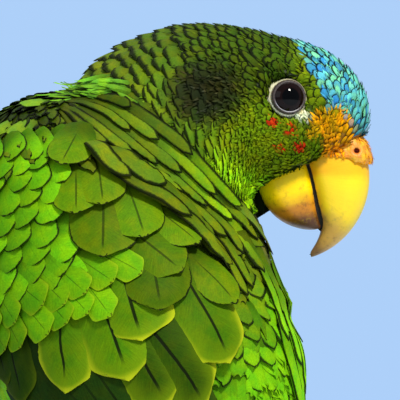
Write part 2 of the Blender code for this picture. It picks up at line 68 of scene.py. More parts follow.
def bird(points):
    """From metres in the room to millimetres in the bird's frame."""
    return np.asarray(points, float) / MM - PLACE


def beside_eye(ahead, up, right=0.0):
    """A place given level and upright from eye level, in the bird's frame."""
    return EYE_LEVEL + AHEAD * ahead + UP * up + HEAD_RIGHT * right


def from_eyes(points):
    """How far ahead of, above and to the right of the eyes points are, level and upright."""
    away = points - EYE_LEVEL
    return away @ AHEAD, away @ UP, away @ HEAD_RIGHT


def in_head(points):
    """How far forward of, above and to the right of the eyes points are, in the head's own directions."""
    away = points - EYE_LEVEL
    return away @ HEAD_FORWARD, away @ HEAD_UP, away @ HEAD_RIGHT


def close_to(far, reach):
    """1 where far is 0, falling off softly past the reach."""
    return np.exp(-((far / reach) ** 2))


def smooth_step(low, high, value):
    """0 at low and 1 at high, with a soft change between."""
    share = np.clip((np.asarray(value, float) - low) / (high - low), 0, 1)
    return share * share * (3 - 2 * share)


def unit(vectors):
    vectors = np.asarray(vectors, float)
    return vectors / np.maximum(np.linalg.norm(vectors, axis=-1, keepdims=True), 1e-12)


def along_rows(rows, key):
    """The other numbers of rows whose first number is key, on straight lines between the rows."""
    rows = np.asarray(rows, float)
    return np.stack([np.interp(key, rows[:, 0], rows[:, k]) for k in range(1, rows.shape[1])], -1)


# ---------------------------------------------------------------- camera, light and floor

CAMERA_AZIMUTH = math.radians(-50)
CAMERA_DISTANCE = 1.5
VIEW_WIDTH = 0.096
SENSOR = 36.0
BACKDROP = (0.42, 0.63, 0.95)
NEAR_CLIP = 0.05
EYE_IN_VIEW = (0.02136, 0.02448)  # how far right of and above the view's centre the eye is
LAMPS = (  # towards the camera, right and up, how far, how wide, how strong, and colour
    ("key", (0.9, 0.5, 1.25), 1.3, 0.22, 24.0, (1.0, 0.95, 0.84)),
    ("fill", (0.7, -1.0, 0.5), 1.4, 0.8, 2.5, (0.93, 0.97, 1.0)),
    ("rim", (-0.6, -0.3, 1.2), 1.2, 0.5, 4.0, (1.0, 0.98, 0.92)),
)
LAMP_AIM = Vector((0, 0, 0.11))
SKY_LIGHT, SKY_STRENGTH = (0.72, 0.86, 1.0), 0.42
FLOOR_COLOUR = (0.62, 0.70, 0.80)


def add_camera():
    camera = bpy.data.objects.new("camera", bpy.data.cameras.new("camera"))
    right = Vector((math.cos(CAMERA_AZIMUTH), math.sin(CAMERA_AZIMUTH), 0))
    back = Vector((math.sin(CAMERA_AZIMUTH), -math.cos(CAMERA_AZIMUTH), 0))
    eye = Vector(room(EYE_LEVEL))
    centre = eye - right * EYE_IN_VIEW[0] - Vector((0, 0, EYE_IN_VIEW[1]))
    camera.location = centre + back * CAMERA_DISTANCE
    camera.rotation_euler = (math.radians(90), 0, CAMERA_AZIMUTH)
    camera.data.sensor_width = SENSOR
    camera.data.lens = SENSOR * CAMERA_DISTANCE / VIEW_WIDTH
    camera.data.clip_start = NEAR_CLIP
    bpy.context.scene.collection.objects.link(camera)
    bpy.context.scene.camera = camera
    return right, back


def add_lamp(name, way, distance, size, watts, colour):
    """A square soft lamp that looks at the bird from the given way."""
    lamp = bpy.data.lights.new(name, "AREA")
    lamp.size = size
    lamp.energy = watts
    lamp.color = colour
    holder = bpy.data.objects.new(name, lamp)
    holder.location = LAMP_AIM + way.normalized() * distance
    holder.rotation_euler = way.to_track_quat("Z", "Y").to_euler()
    bpy.context.scene.collection.objects.link(holder)


def add_studio():
    right, back = add_camera()
    for name, (towards, aside, high), *rest in LAMPS:
        add_lamp(name, back * towards + right * aside + Vector((0, 0, high)), *rest)
    world = bpy.data.worlds.new("studio")
    bpy.context.scene.world = world
    world.use_nodes = True
    tree = Tree(world.node_tree)
    seen = tree.node("ShaderNodeBackground", None, {"Color": (*BACKDROP, 1), "Strength": 1.0})
    lit = tree.node("ShaderNodeBackground", None, {"Color": (*SKY_LIGHT, 1), "Strength": SKY_STRENGTH})
    direct = tree.node("ShaderNodeLightPath", None, None, 0)
    either = tree.node("ShaderNodeMixShader", None, {0: direct, 1: lit, 2: seen})
    tree.links.new(either.socket, tree.nodes["World Output"].inputs["Surface"])
    bpy.context.scene.view_settings.view_transform = "Standard"
    bpy.context.scene.view_settings.look = "None"

    bm = bmesh.new()
    bmesh.ops.create_circle(bm, cap_ends=True, segments=96, radius=1.0)
    floor = new_object("floor", bm)
    floor.data.materials.append(plain_material("pale floor", FLOOR_COLOUR, 0.7))


def new_object(name, bm):
    mesh = bpy.data.meshes.new(name)
    bm.to_mesh(mesh)
    bm.free()
    obj = bpy.data.objects.new(name, mesh)
    bpy.context.scene.collection.objects.link(obj)
    return obj


def plain_material(name, colour, roughness):
    material = bpy.data.materials.new(name)
    material.use_nodes = True
    shader = material.node_tree.nodes["Principled BSDF"]
    shader.inputs["Base Color"].default_value = (*colour, 1)
    shader.inputs["Roughness"].default_value = roughness
    return material


# ---------------------------------------------------------------- node trees, written as sums


def maths(operation, turned=False):
    """A method of Sock that adds a Math node, with the other number first where it is turned."""

    def added(self, other=None):
        first, second = (other, self) if turned else (self, other)
        return self.tree.node("ShaderNodeMath", {"operation": operation}, {0: first, 1: second})

    return added


class Sock:
    """A node's output, which can be used in a sum."""

    def __init__(self, tree, socket):
        self.tree, self.socket = tree, socket

    __add__, __radd__ = maths("ADD"), maths("ADD", True)
    __sub__, __rsub__ = maths("SUBTRACT"), maths("SUBTRACT", True)
    __mul__, __rmul__ = maths("MULTIPLY"), maths("MULTIPLY", True)
    __truediv__, __rtruediv__ = maths("DIVIDE"), maths("DIVIDE", True)
    __abs__ = maths("ABSOLUTE")
    most, least = maths("MAXIMUM"), maths("MINIMUM")

    def step(self, low, high):
        """0 below low and 1 above high, with a soft change between."""
        ends = {"Value": self, "From Min": low, "From Max": high}
        return self.tree.node("ShaderNodeMapRange", {"interpolation_type": "SMOOTHSTEP"}, ends, "Result")


class Tree:
    """A node tree whose nodes all come from one method."""

    def __init__(self, node_tree):
        self.nodes, self.links = node_tree.nodes, node_tree.links

    def node(self, kind, settings=None, sockets=None, out=0):
        """Makes a node: settings first, then its sockets' values or links.

        It gives one output, or all of them where out is None.
        """
        made = self.nodes.new(kind)
        for key, value in (settings or {}).items():
            setattr(made, key, value)
        for key, value in (sockets or {}).items():
            if value is None:
                continue
            socket = made.inputs[key]
            if isinstance(value, Sock):
                self.links.new(value.socket, socket)
            else:
                socket.default_value = value
        if out is None:
            return [Sock(self, socket) for socket in made.outputs]
        return Sock(self, made.outputs[out])

    def mix(self, share, first, second, way="MIX"):
        """A mix of two colours."""
        first, second = (c if isinstance(c, Sock) else (*c, 1) for c in (first, second))
        settings = {"data_type": "RGBA", "blend_type": way, "clamp_factor": True}
        return self.node("ShaderNodeMix", settings, {0: share, 6: first, 7: second}, 2)

    def noise(self, where, scale, detail=2.0, roughness=0.5):
        sockets = {"Vector": where, "Scale": scale, "Detail": detail, "Roughness": roughness}
        return self.node("ShaderNodeTexNoise", None, sockets)

    def vector(self, x, y, z=0.0):
        return self.node("ShaderNodeCombineXYZ", None, {0: x, 1: y, 2: z})

    def part(self, vector):
        """The three numbers of a vector."""
        return self.node("ShaderNodeSeparateXYZ", None, {0: vector}, None)

    def place(self):
        """Places on the piece, in the object's own coordinates."""
        return self.node("ShaderNodeTexCoord", None, None, 3)

    def own(self, name, out=2):
        """A number kept at the piece's corners, or its colour where out is 0."""
        return self.node("ShaderNodeAttribute", {"attribute_name": name}, None, out)


def material_tree(name, roughness, coat=0.0, coat_roughness=0.1, subsurface=0.0):
    """A new material and its tree, with what is the same all over set on the shader."""
    material = bpy.data.materials.new(name)
    material.use_nodes = True
    tree = Tree(material.node_tree)
    shader = tree.nodes["Principled BSDF"]
    shader.inputs["Roughness"].default_value = roughness
    shader.inputs["Coat Weight"].default_value = coat
    shader.inputs["Coat Roughness"].default_value = coat_roughness
    shader.inputs["Subsurface Weight"].default_value = subsurface
    return material, tree, shader


def feed(tree, shader, name, value):
    """Leads a value into one of the shader's sockets."""
    tree.links.new(value.socket, shader.inputs[name])


def bump(tree, shader, height, strength, distance):
    """Fine relief, which is distance metres high."""
    normal = tree.node("ShaderNodeBump", None, {"Height": height, "Strength": strength, "Distance": distance})
    feed(tree, shader, "Normal", normal)


# ---------------------------------------------------------------- markings, shared by the skin and the coat


def linear(red, green, blue):
    """A paint colour given as 0 to 255 on a screen, as amounts of light."""
    share = np.array((red, green, blue)) / 255
    return np.where(share <= 0.04045, share / 12.92, ((share + 0.055) / 1.055) ** 2.4)


CROWN_GREEN = linear(56, 78, 9)
NAPE_GREEN = linear(80, 106, 16)
MANTLE_GREEN = linear(82, 99, 12)
BACK_GREEN = linear(86, 144, 7)
CHEEK_GREEN = linear(103, 126, 8)
BELLY_GREEN = linear(116, 166, 30)
EAR_DUSK = linear(19, 19, 11)
EAR_FLECK = linear(44, 42, 32)
BLUE = linear(42, 124, 186)
TURQUOISE = linear(98, 184, 172)
LORE_YELLOW = linear(214, 150, 6)
CERE_ORANGE = linear(236, 150, 14)
FLECK_RED = linear(206, 38, 14)
PALE_DOWN = linear(224, 224, 186)
THIGH_GREEN = linear(128, 170, 54)
THROAT_GREEN = linear(160, 222, 18)
EDGE_GREEN = linear(104, 168, 10)
DOWN_GREY = linear(122, 118, 84)
GLOW_GREEN = linear(112, 138, 8)
RIM_YELLOW = linear(172, 180, 24)
FRINGE_DARK = linear(10, 16, 4)
BLACK = linear(0, 0, 0)

# level and upright places from the eyes, and sizes
RED_FLECKS = ((-3.4, -6.7, 1.4), (0.9, -8.7, 1.2), (-1.9, -12.7, 1.1), (2.7, -12.5, 1.2))
# oval patches: level and upright places of the middle from the eyes, and the reach each way
EAR_PATCH = (-19.4, 0.6, 10.4, 7.8)
PALE_PATCH = (3.6, -5.1, 2.1, 1.4)
BEND_SHADE = (-66, -4.5, 11, 4.5)
BARRED_PATCH = (-8.0, -55.5, 4.5, 4.5)


def blend(colours, share, colour):
    share = np.asarray(share)[:, None]
    return colours * (1 - share) + colour * share


# The sheaf of mantle feathers springs from the shoulder's bend and sweeps over the back. Each row is a place across
# it: level and upright measures from the eyes of its upper edge, then of its lower edge, in mm.
SHEAF = (
    (-56.9, -0.7, -55.4, -2.4),
    (-46.6, 0.0, -52.6, -6.5),
    (-39.4, -0.5, -49.0, -12.0),
    (-33.4, -4.3, -44.4, -17.3),
    (-26.2, -9.6, -38.6, -22.1),
    (-20.2, -16.1, -32.2, -25.7),
    (-14.6, -22.6, -25.0, -32.2),
    (-9.8, -28.3, -20.2, -37.7),
    (-6.5, -34.1, -16.1, -44.9),
    (-3.4, -40.8, -13.2, -52.1),
    (-0.2, -48.5, -11.8, -59.3),
    (2.2, -56.9, -10.8, -66.5),
    (3.8, -65.3, -9.8, -73.7),
    (5.3, -72.5, -8.9, -79.7),
    (6.0, -79.0, -8.0, -86.0),
)

# how far the painted shade along the neck's fold reaches, in mm
FOLD_SHADE_REACH = 2.8
BROW_EDGE = (  # level and upright places from the eyes, where the green crown gives way to the blue forehead
    (18.0, -9.8), (15.6, -7.2), (11.8, -3.8), (8.4, -1.9), (7.4, 2.9), (5.5, 6.7), (2.6, 12.2),
)
GREY_EDGE = ((-8.0, -31.5), (-4.6, -37.0), (-1.4, -44.5))  # where the mantle's down shows grey
# the upper edge of the yellow lores, level and upright from the eyes
LORE_TOP = ((5.0, -6.2), (7.4, -4.1), (11.8, -3.8), (15.6, -7.2), (18.0, -9.8))


def far_from_line(x, y, line):
    """How far places are from a line of points, all in two measures."""
    places = np.stack([x, y], -1)
    least = np.full(len(places), np.inf)
    for start, end in zip(line, line[1:]):
        span = end - start
        share = np.clip((places - start) @ span / (span @ span), 0, 1)
        least = np.minimum(least, np.linalg.norm(places - start - share[:, None] * span, axis=1))
    return least


def oval(x, y, middle_x, middle_y, reach_x, reach_y, power=2):
    """An oval patch: 1 in its middle, and falling off at its reach. The higher the power, the harder its edge."""
    return np.exp(-((((x - middle_x) / reach_x) ** 2 + ((y - middle_y) / reach_y) ** 2) ** power))


def ear_share(points):
    """How much of the dusky patch behind the eye is at places in the bird's frame."""
    ahead, up, _ = from_eyes(points)
    return oval(ahead, up, *EAR_PATCH, 3)


def past_brow(ahead, up):
    """How far in front of the brow's edge places are, level and upright from the eyes."""
    edge = np.array(BROW_EDGE)
    return ahead - np.interp(up, edge[:, 1], edge[:, 0])


def markings(points):
    """The plumage's colour at places in the bird's frame, with painted shade in the neck's fold and at the shoulder's
    bend.
    """
    points = np.asarray(points, float)
    ahead, up, right = from_eyes(points)
    forward, crown, _ = in_head(points)
    height = points[:, 2]
    waver = 0.6 * np.sin(points @ np.array((1.3, 0.9, 1.7))) + 0.4 * np.sin(points @ np.array((-2.1, 1.9, 2.6)))

    colours = np.tile(BACK_GREEN, (len(points), 1))
    front = smooth_step(2, 26, points[:, 1])
    colours = blend(colours, front, BELLY_GREEN)
    colours = blend(colours, smooth_step(92, 112, height) * (1 - 0.5 * front), MANTLE_GREEN)
    head = smooth_step(-44, -34, ahead) * smooth_step(-27, -22, up + 0.35 * ahead + 9)
    colours = blend(colours, head, NAPE_GREEN)
    colours = blend(colours, 0.38 * head * smooth_step(2, 9, up), BLACK)
    colours = blend(colours, head * smooth_step(-26, -14, ahead), CROWN_GREEN)
    cheek = head * smooth_step(-1, -8, crown + 0.1 * forward) * smooth_step(-24, -14, ahead)
    colours = blend(colours, cheek, CHEEK_GREEN)
    throat = head * smooth_step(-17, -24, crown) * smooth_step(-24, -12, ahead)
    colours = blend(colours, throat, THROAT_GREEN)
    rump_side = smooth_step(-17, -3, ahead) * smooth_step(-38, -56, up) * smooth_step(6, -4, points[:, 1])
    colours = blend(colours, rump_side, EDGE_GREEN)
    colours = blend(colours, 0.95 * ear_share(points) * head, EAR_DUSK)

    # the forehead: blue and turquoise scales, from above the eyes down to the cere
    past = past_brow(ahead, up)
    brow = smooth_step(-0.6, 0.7, past + 0.6 * waver) * smooth_step(-11.5, -10, up)
    beside_brow = smooth_step(-8, -1, past) * smooth_step(-1, 3, ahead)
    beside_brow = beside_brow * smooth_step(15, 10, up) * smooth_step(-9, -5, up)
    colours = blend(colours, 0.75 * beside_brow, CHEEK_GREEN)
    colours = blend(colours, brow, TURQUOISE)
    colours = blend(colours, 0.9 * brow * smooth_step(-0.3, 0.6, waver + 0.45 - 0.12 * past), BLUE)
    # the lores: yellow from the cere back to below the eye
    below = np.interp(ahead, *zip(*LORE_TOP)) - up
    lore = smooth_step(4.2, 5.8, ahead + 0.8 * waver) * smooth_step(-0.5, 0.8, below + 0.5 * waver)
    lore = lore * smooth_step(-10.8, -9.4, up + 0.5 * waver)
    colours = blend(colours, lore, LORE_YELLOW)
    beside_bill = smooth_step(7.0, 8.4, ahead) * smooth_step(-9.0, -10.0, up) * smooth_step(-16, -15, up)
    colours = blend(colours, 0.9 * beside_bill, CERE_ORANGE)
    # pale down below the front of the eye
    pale = oval(ahead, up, *PALE_PATCH)
    colours = blend(colours, 0.85 * pale, PALE_DOWN)
    for fleck_ahead, fleck_up, size in RED_FLECKS:
        spot = np.hypot(ahead - fleck_ahead, up - fleck_up) + 0.35 * waver
        colours = blend(colours, 0.95 * smooth_step(1.15 * size, 0.6 * size, spot), FLECK_RED)
    grey = smooth_step(2.2, 0.6, far_from_line(ahead, up, np.array(GREY_EDGE)) + 0.5 * waver)
    colours = blend(colours, 0.6 * grey, DOWN_GREY)
    colours = blend(colours, smooth_step(52, 34, height), THIGH_GREEN)
    # the neck folds where the head turns back; the fold and the shoulder's bend are darkened with painted shade
    fold = smooth_step(FOLD_SHADE_REACH, 0.4, far_from_line(ahead, up, np.array(SHEAF)[:9, :2])) * smooth_step(-6, 4, right)
    bend = oval(ahead, up, *BEND_SHADE) * smooth_step(-4, 6, right)
    barred = oval(ahead, up, *BARRED_PATCH) * (0.6 + 0.4 * np.sin(up * 2.6 + ahead))
    return colours * ((1 - 0.6 * fold) * (1 - 0.85 * bend) * (1 - 0.75 * barred))[:, None]


# ---------------------------------------------------------------- the skin

SKIN_VOXEL = 1.15
FLESH_SWELL = 0.35  # how much the flesh is swollen, so that its pieces run into one
COAT_DEPTH = {"head": 0.7, "neck": 0.8, "trunk": 1.3, "wing": 0.9, "leg": 1.2}  # in mm
FACE_DEPTH = 0.4
SWELLS = (  # level and upright places from the eyes, their reach, and how far the skin stands out there, in mm
    ((-43.0, 8.0), 13.0, 1.0),
    ((-26.0, 16.5), 13.0, 0.7),
    ((12.5, 7.0), 8.0, 0.6),
    ((17.0, -1.5), 7.0, 1.0),
    ((-56.0, -2.0), 9.0, -1.2),
    ((-3.0, -38.0), 13.0, -1.9),
    ((0.5, -46.0), 7.0, -1.5),
    ((3.2, -59.0), 6.0, 1.2),
    ((4.0, -70.0), 11.0, 1.3),
)


def cad_shape(name, swell):
    """A merged copy of a CAD node's shape, swollen by some mm."""
    bm = bmesh.new()
    bm.from_mesh(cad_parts[name].data)
    bmesh.ops.remove_doubles(bm, verts=bm.verts, dist=1e-6)
    bm.normal_update()
    for vert in bm.verts:
        vert.co += vert.normal * swell * MM
    return bm


def cad_shapes(names, swell, start=None):
    """Copies of some CAD nodes' shapes in one, joined to a shape to start from where one is given."""
    whole = bmesh.new() if start is None else start
    for name in names:
        part = cad_shape(name, swell)
        mesh = bpy.data.meshes.new(name)
        part.to_mesh(mesh)
        part.free()
        whole.from_mesh(mesh)
        bpy.data.meshes.remove(mesh)
    return whole


def cast(obj, voxel):
    """The object's shapes run into one even skin, whose faces are voxel mm wide."""
    remesh = obj.modifiers.new("one skin", "REMESH")
    remesh.mode = "VOXEL"
    remesh.voxel_size = voxel * MM
    return settled(obj)


def settled(obj):
    """The object with its modifiers made part of a plain mesh."""
    graph = bpy.context.evaluated_depsgraph_get()
    mesh = bpy.data.meshes.new_from_object(obj.evaluated_get(graph), preserve_all_data_layers=True, depsgraph=graph)
    obj.modifiers.clear()
    obj.data = mesh
    mesh.name = obj.name
    return obj


def corners(mesh):
    points = np.empty(len(mesh.vertices) * 3)
    mesh.vertices.foreach_get("co", points)
    return points.reshape(-1, 3)


def set_corners(mesh, points):
    mesh.vertices.foreach_set("co", np.ascontiguousarray(points, dtype=np.float32).ravel())
    mesh.update()


def edge_pairs(mesh):
    pairs = np.empty(len(mesh.edges) * 2, dtype=np.int64)
    mesh.edges.foreach_get("vertices", pairs)
    return pairs.reshape(-1, 2)


def relaxed(values, pairs, rounds):
    """Values at corners, each drawn half of the way to its neighbours' mean, a few times over."""
    values = np.array(values, float)
    count = np.bincount(pairs.ravel(), minlength=len(values)).astype(float)
    count = np.maximum(count, 1).reshape((-1,) + (1,) * (values.ndim - 1))
    for _ in range(rounds):
        total = np.zeros_like(values)
        np.add.at(total, pairs[:, 0], values[pairs[:, 1]])
        np.add.at(total, pairs[:, 1], values[pairs[:, 0]])
        values += 0.5 * (total / count - values)
    return values


def vertex_normals(mesh):
    normals = np.empty(len(mesh.vertices) * 3, dtype=np.float32)
    mesh.vertex_normals.foreach_get("vector", normals)
    return normals.reshape(-1, 3).astype(float)


ANKLE_TOP, ANKLE_FOOT = np.array((17.9, -0.6, 36.0)), np.array((17.4, -3.4, 19.0))


def add_ankle(bm, side, radius, low):
    """A short rod from inside the thigh down into the shank."""
    mirror = np.array((side, 1, 1))
    share = (ANKLE_TOP[2] - low) / (ANKLE_TOP[2] - ANKLE_FOOT[2])
    top, foot = room(ANKLE_TOP * mirror), room((ANKLE_TOP + (ANKLE_FOOT - ANKLE_TOP) * share) * mirror)
    turn = Vector(top - foot).to_track_quat("Z", "Y").to_matrix().to_4x4()
    place = Matrix.Translation(Vector((top + foot) / 2)) @ turn
    rod = {"radius1": radius * MM, "radius2": radius * MM, "depth": float(np.linalg.norm(top - foot))}
    bmesh.ops.create_cone(bm, cap_ends=True, segments=20, matrix=place, **rod)


def make_skin():
    """One skin from the flesh, drawn in by the coat's depth."""
    whole = cad_shapes(FLESH, FLESH_SWELL)
    for _, side in SIDES:
        add_ankle(whole, side, 2.9, 19.0)
    skin = cast(new_object("skin", whole), SKIN_VOXEL)

    pairs = edge_pairs(skin.data)
    points = relaxed(bird(corners(skin.data)), pairs, 6)
    set_corners(skin.data, room(points))
    nearest = np.full(len(points), np.inf)
    depth = np.zeros(len(points))
    for name in FLESH:
        far = nearness(points, [name])
        closer = far < nearest
        nearest[closer] = far[closer]
        depth[closer] = COAT_DEPTH[name.split("_")[0]]
    forward, crown, _ = in_head(points)
    face = smooth_step(-20, 2, forward) * smooth_step(-32, -26, crown)
    depth = depth * (1 - face) + np.minimum(depth, FACE_DEPTH) * face
    ahead, up, _ = from_eyes(points)
    for (middle_ahead, middle_up), reach, change in SWELLS:
        depth = depth - change * close_to(np.hypot(ahead - middle_ahead, up - middle_up), reach)
    depth = np.where(points[:, 2] < 60, np.minimum(depth, 0.35 + 0.85 * smooth_step(26, 44, points[:, 2])), depth)
    depth = relaxed(depth, pairs, 12)
    normals = relaxed(vertex_normals(skin.data), pairs, 2)
    points = points - unit(normals) * (depth + FLESH_SWELL)[:, None]
    points = relaxed(points, pairs, 3)
    set_corners(skin.data, room(points))
    skin.data.shade_smooth()
    return skin


def surface_tree(mesh):
    """A tree that finds places on a mesh's faces."""
    return BVHTree.FromPolygons([v.co.copy() for v in mesh.vertices], [tuple(p.vertices) for p in mesh.polygons])


ATTRIBUTE_SLOTS = {"FLOAT": "value", "INT": "value", "FLOAT_VECTOR": "vector", "FLOAT_COLOR": "color"}


def keep(mesh, name, values, kind="FLOAT"):
    """Keeps values at the mesh's corners, where the node trees can read them by name."""
    values = np.ascontiguousarray(values, dtype=np.int32 if kind == "INT" else np.float32)
    if kind == "FLOAT_COLOR" and values.shape[1] == 3:
        values = np.concatenate([values, np.ones((len(values), 1), np.float32)], axis=1)
    layer = mesh.attributes.get(name) or mesh.attributes.new(name, kind, "POINT")
    layer.data.foreach_set(ATTRIBUTE_SLOTS[kind], values.ravel())


def unwrap(obj):
    """An unwrap of the piece's own shape, on the map that colours are kept on."""
    obj.data.uv_layers.new(name="OFBake")
    bpy.context.view_layer.objects.active = obj
    obj.select_set(True)
    bpy.ops.object.mode_set(mode="EDIT")
    bpy.ops.mesh.select_all(action="SELECT")
    bpy.ops.uv.smart_project(angle_limit=math.radians(66), island_margin=0.002)
    bpy.ops.object.mode_set(mode="OBJECT")
    obj.select_set(False)


# ---------------------------------------------------------------- the lie of the plumage

# The feathers lie along lines that start at the bill, run over the head and wind round the neck to the tail.
# Round the head the rows fan out from the fold of the throat, and further down they ring the body.
THROAT_FOLD = beside_eye(-8.9, -25.9)
LAST_OF_HEAD = 149  # past this slope the rows turn from the head's way of facing to the body's
HEAD_FAN = (  # the row's slope in degrees, how far its middle is from the fold, and its turn
    (30, 14.0, 140), (45, 17.0, 140), (60, 18.5, 140), (75, 19.5, 140), (90, 20.5, 140), (105, 21.5, 140),
    (120, 23.0, 140), (135, 25.5, 140), (LAST_OF_HEAD, 28.5, 140), (153, 30.0, 108), (157, 31.5, 70),
    (161, 33.0, 42), (168, 35.5, 22), (180, 37.5, 10),
)
BODY_RINGS = (  # the ring's middle, the way the body runs there, and the turn
    (0, 8.5, 124, 0, -0.22, -1, 4),
    (0, 5, 113, 0, -0.3, -1, -4),
    (0, 0, 100, 0, -0.42, -1, -8),
    (0, -7, 86, 0, -0.6, -1, -5),
    (0, -16, 72, 0, -0.85, -1, 0),
    (0, -27, 60, 0, -1.0, -0.85, 0),
    (0, -37, 51, 0, -1.0, -0.7, 0),
    (0, -42, 47, 0, -1.0, -0.7, 0),
)
RINGS_BETWEEN = 6
AROUND = 144


def guide_rings():
    """Middle, way along, and the two axes of each ring, from the bill to the rump."""
    rings = []
    slopes = [row[0] for row in HEAD_FAN]
    steps = [np.linspace(a, b, RINGS_BETWEEN, endpoint=False) for a, b in zip(slopes, slopes[1:])]
    steps = np.concatenate(steps + [[slopes[-1]]])
    for slope, (reach, turn) in zip(steps, along_rows(HEAD_FAN, steps)):
        angle = math.radians(slope)
        out = AHEAD * math.cos(angle) + UP * math.sin(angle)
        way = -AHEAD * math.sin(angle) + UP * math.cos(angle)
        rings.append((THROAT_FOLD + out * reach, way, turn, slope))
    last_middle, last_way, last_turn, _ = rings[-1]
    body = [(*last_middle, *last_way, last_turn)] + [(*row[:3], *unit(row[3:6]), row[6]) for row in BODY_RINGS]
    body = np.array(body)
    places = np.arange(len(body))
    for place in np.arange(1, (len(body) - 1) * RINGS_BETWEEN + 1) / RINGS_BETWEEN:
        row = np.array([np.interp(place, places, body[:, k]) for k in range(7)])
        rings.append((row[:3], unit(row[3:6]), row[6], 180 + place))
    frames = []
    for middle, way, turn, key in rings:
        if key <= LAST_OF_HEAD:
            right = HEAD_RIGHT
            back = np.cross(way, right)
        else:
            # between the nape and the back, the back line winds round with the turn
            turned = math.radians(turn)
            level = np.array((-math.sin(turned), -math.cos(turned), 0.0))
            back = unit(level - way * (level @ way))
            right = np.cross(back, way)
        frames.append((middle, way, unit(right), unit(back), key))
    return frames


class Guide:
    """Points on the skin by how far along the bird they are and how far round from its back line."""

    def __init__(self, frames, tree, around=AROUND, limit=70.0):
        self.around = around
        self.keys = np.array([frame_[4] for frame_ in frames], float)
        grid = np.full((len(frames), around, 3), np.nan)
        for r, (middle, _, right, back, _) in enumerate(frames):
            for k in range(around):
                angle = math.tau * k / around
                way = back * math.cos(angle) + right * math.sin(angle)
                spot = tree.ray_cast(Vector(room(middle)), Vector(way), limit * MM)[0]
                grid[r, k] = middle + way * 5 if spot is None else bird(spot)
        self.grid = self.soften(grid, 2)

    @staticmethod
    def soften(grid, rounds, closed=True):
        for _ in range(rounds):
            beside = (np.roll(grid, 1, 1) + np.roll(grid, -1, 1)) / 2
            if not closed:
                beside[:, 0], beside[:, -1] = grid[:, 0], grid[:, -1]
            ends = np.concatenate([grid[:1], grid, grid[-1:]])
            along = (ends[:-2] + ends[2:]) / 2
            grid = 0.5 * grid + 0.25 * beside + 0.25 * along
        return grid

    def at(self, rows, angles):
        """Points at row numbers, which may be fractions, and angles in degrees."""
        rows = np.clip(np.asarray(rows, float), 0, len(self.grid) - 1.001)
        turns = (np.asarray(angles, float) / 360 * self.around) % self.around
        r, k = rows.astype(int), turns.astype(int) % self.around
        u, v = (rows - r)[:, None], (turns - turns.astype(int))[:, None]
        g, j = self.grid, (k + 1) % self.around
        return (1 - u) * ((1 - v) * g[r, k] + v * g[r, j]) + u * ((1 - v) * g[r + 1, k] + v * g[r + 1, j])

    def row_at(self, key):
        return float(np.interp(key, self.keys, np.arange(len(self.keys))))

    def key_at(self, rows):
        return np.interp(rows, np.arange(len(self.keys)), self.keys)

    def back_length(self):
        """How far along the back line each row is, in mm."""
        line = self.grid[:, 0]
        return np.concatenate([[0], np.cumsum(np.linalg.norm(np.diff(line, axis=0), axis=1))])


# ---------------------------------------------------------------- vanes, and how they are laid

VANE_KINDS = 3
PATCH = 0.003  # how wide a feather's place on the colour map is


def margin_distance(x, y, outline, aspect):
    """How far a place on a vane of unit width is from its nearest side or tip.

    The vane is aspect times as long as it is wide.
    """
    shares = 1 - (1 - np.linspace(0.03, 1, 50)) ** 1.6
    halves = np.interp(shares, *zip(*outline))
    shares = np.append(shares, np.ones(8))
    halves = np.append(halves, np.linspace(0, halves[-1], 8))
    return float(np.min(np.hypot(halves - abs(x), (shares - y) * aspect)))


def vane(name, outline, across, along, cup, arch, aspect, fray, seed, fringe):
    """A single feather of unit length and width, root at the origin and tip along Y.

    outline gives half its width at shares of its length, cup is how far its sides turn down, and arch how its middle
    rises above a straight line from root to tip. The tip may be frayed. fringe over 1 keeps the dark fringe to the tip.
    """
    bm = bmesh.new()
    layers = {key: bm.verts.layers.float.new(key) for key in ("along", "across", "rise", "margin")}
    uv = bm.loops.layers.uv.new("vane")
    random = np.random.default_rng(seed)
    lean = 0.05 * random.uniform(-1, 1)
    cuts = fray * random.uniform(0.0, 1.0, across + 1) ** 1.5
    rows = []
    fringed = [(share, half * fringe) for share, half in outline]
    for r in range(along + 1):
        share = 1 - (1 - r / along) ** 1.7
        half = float(np.interp(share, *zip(*outline)))
        row = []
        for c in range(across + 1):
            place = 2 * c / across - 1
            frayed = cuts[c] * max(share - 0.5, 0.0) / 0.5
            y = share * (1 - frayed) - 0.05 * place * place * share
            vert = bm.verts.new((half * place + lean * share * share, y, 0))
            vert[layers["along"]] = share
            vert[layers["across"]] = place
            vert[layers["rise"]] = arch * math.sin(math.pi * share) - cup * place * place * (half / 0.5)
            vert[layers["margin"]] = margin_distance(half * place, share, fringed, aspect)
            row.append(vert)
        rows.append(row)
    for low, high in zip(rows, rows[1:]):
        for c in range(across):
            face = bm.faces.new((low[c], low[c + 1], high[c + 1], high[c]))
            face.smooth = True
            for loop in face.loops:
                loop[uv].uv = (0.5 + 0.5 * loop.vert[layers["across"]], loop.vert[layers["along"]])
    obj = new_object(name, bm)
    bpy.context.scene.collection.objects.unlink(obj)
    return obj


def vanes(name, outline, across, along, cup, arch, aspect=1.8, fray=0.0, fringe=1.0):
    """Three vanes alike but for their fraying."""
    same = (outline, across, along, cup, arch, aspect, fray)
    return [vane(f"{name}_{k}", *same, 11 * k + 3, fringe) for k in range(VANE_KINDS)]


def round_tip(root, widest, shoulder, blunt=2.0, end=0.1):
    """An outline that widens from the root and ends in a round tip.

    A blunt tip is squarer, and end is its last half width.
    """
    rows = [(0, root), (widest * 0.4, root + 0.62 * (0.5 - root)), (widest, 0.5), (shoulder, 0.5)]
    for k in range(1, 13):
        turn = math.pi / 2 * k / 12
        half = 0.5 * max(math.cos(turn), 0.0) ** (2 / blunt)
        rows.append((shoulder + (1 - shoulder) * math.sin(turn), max(half, end)))
    return tuple(rows)


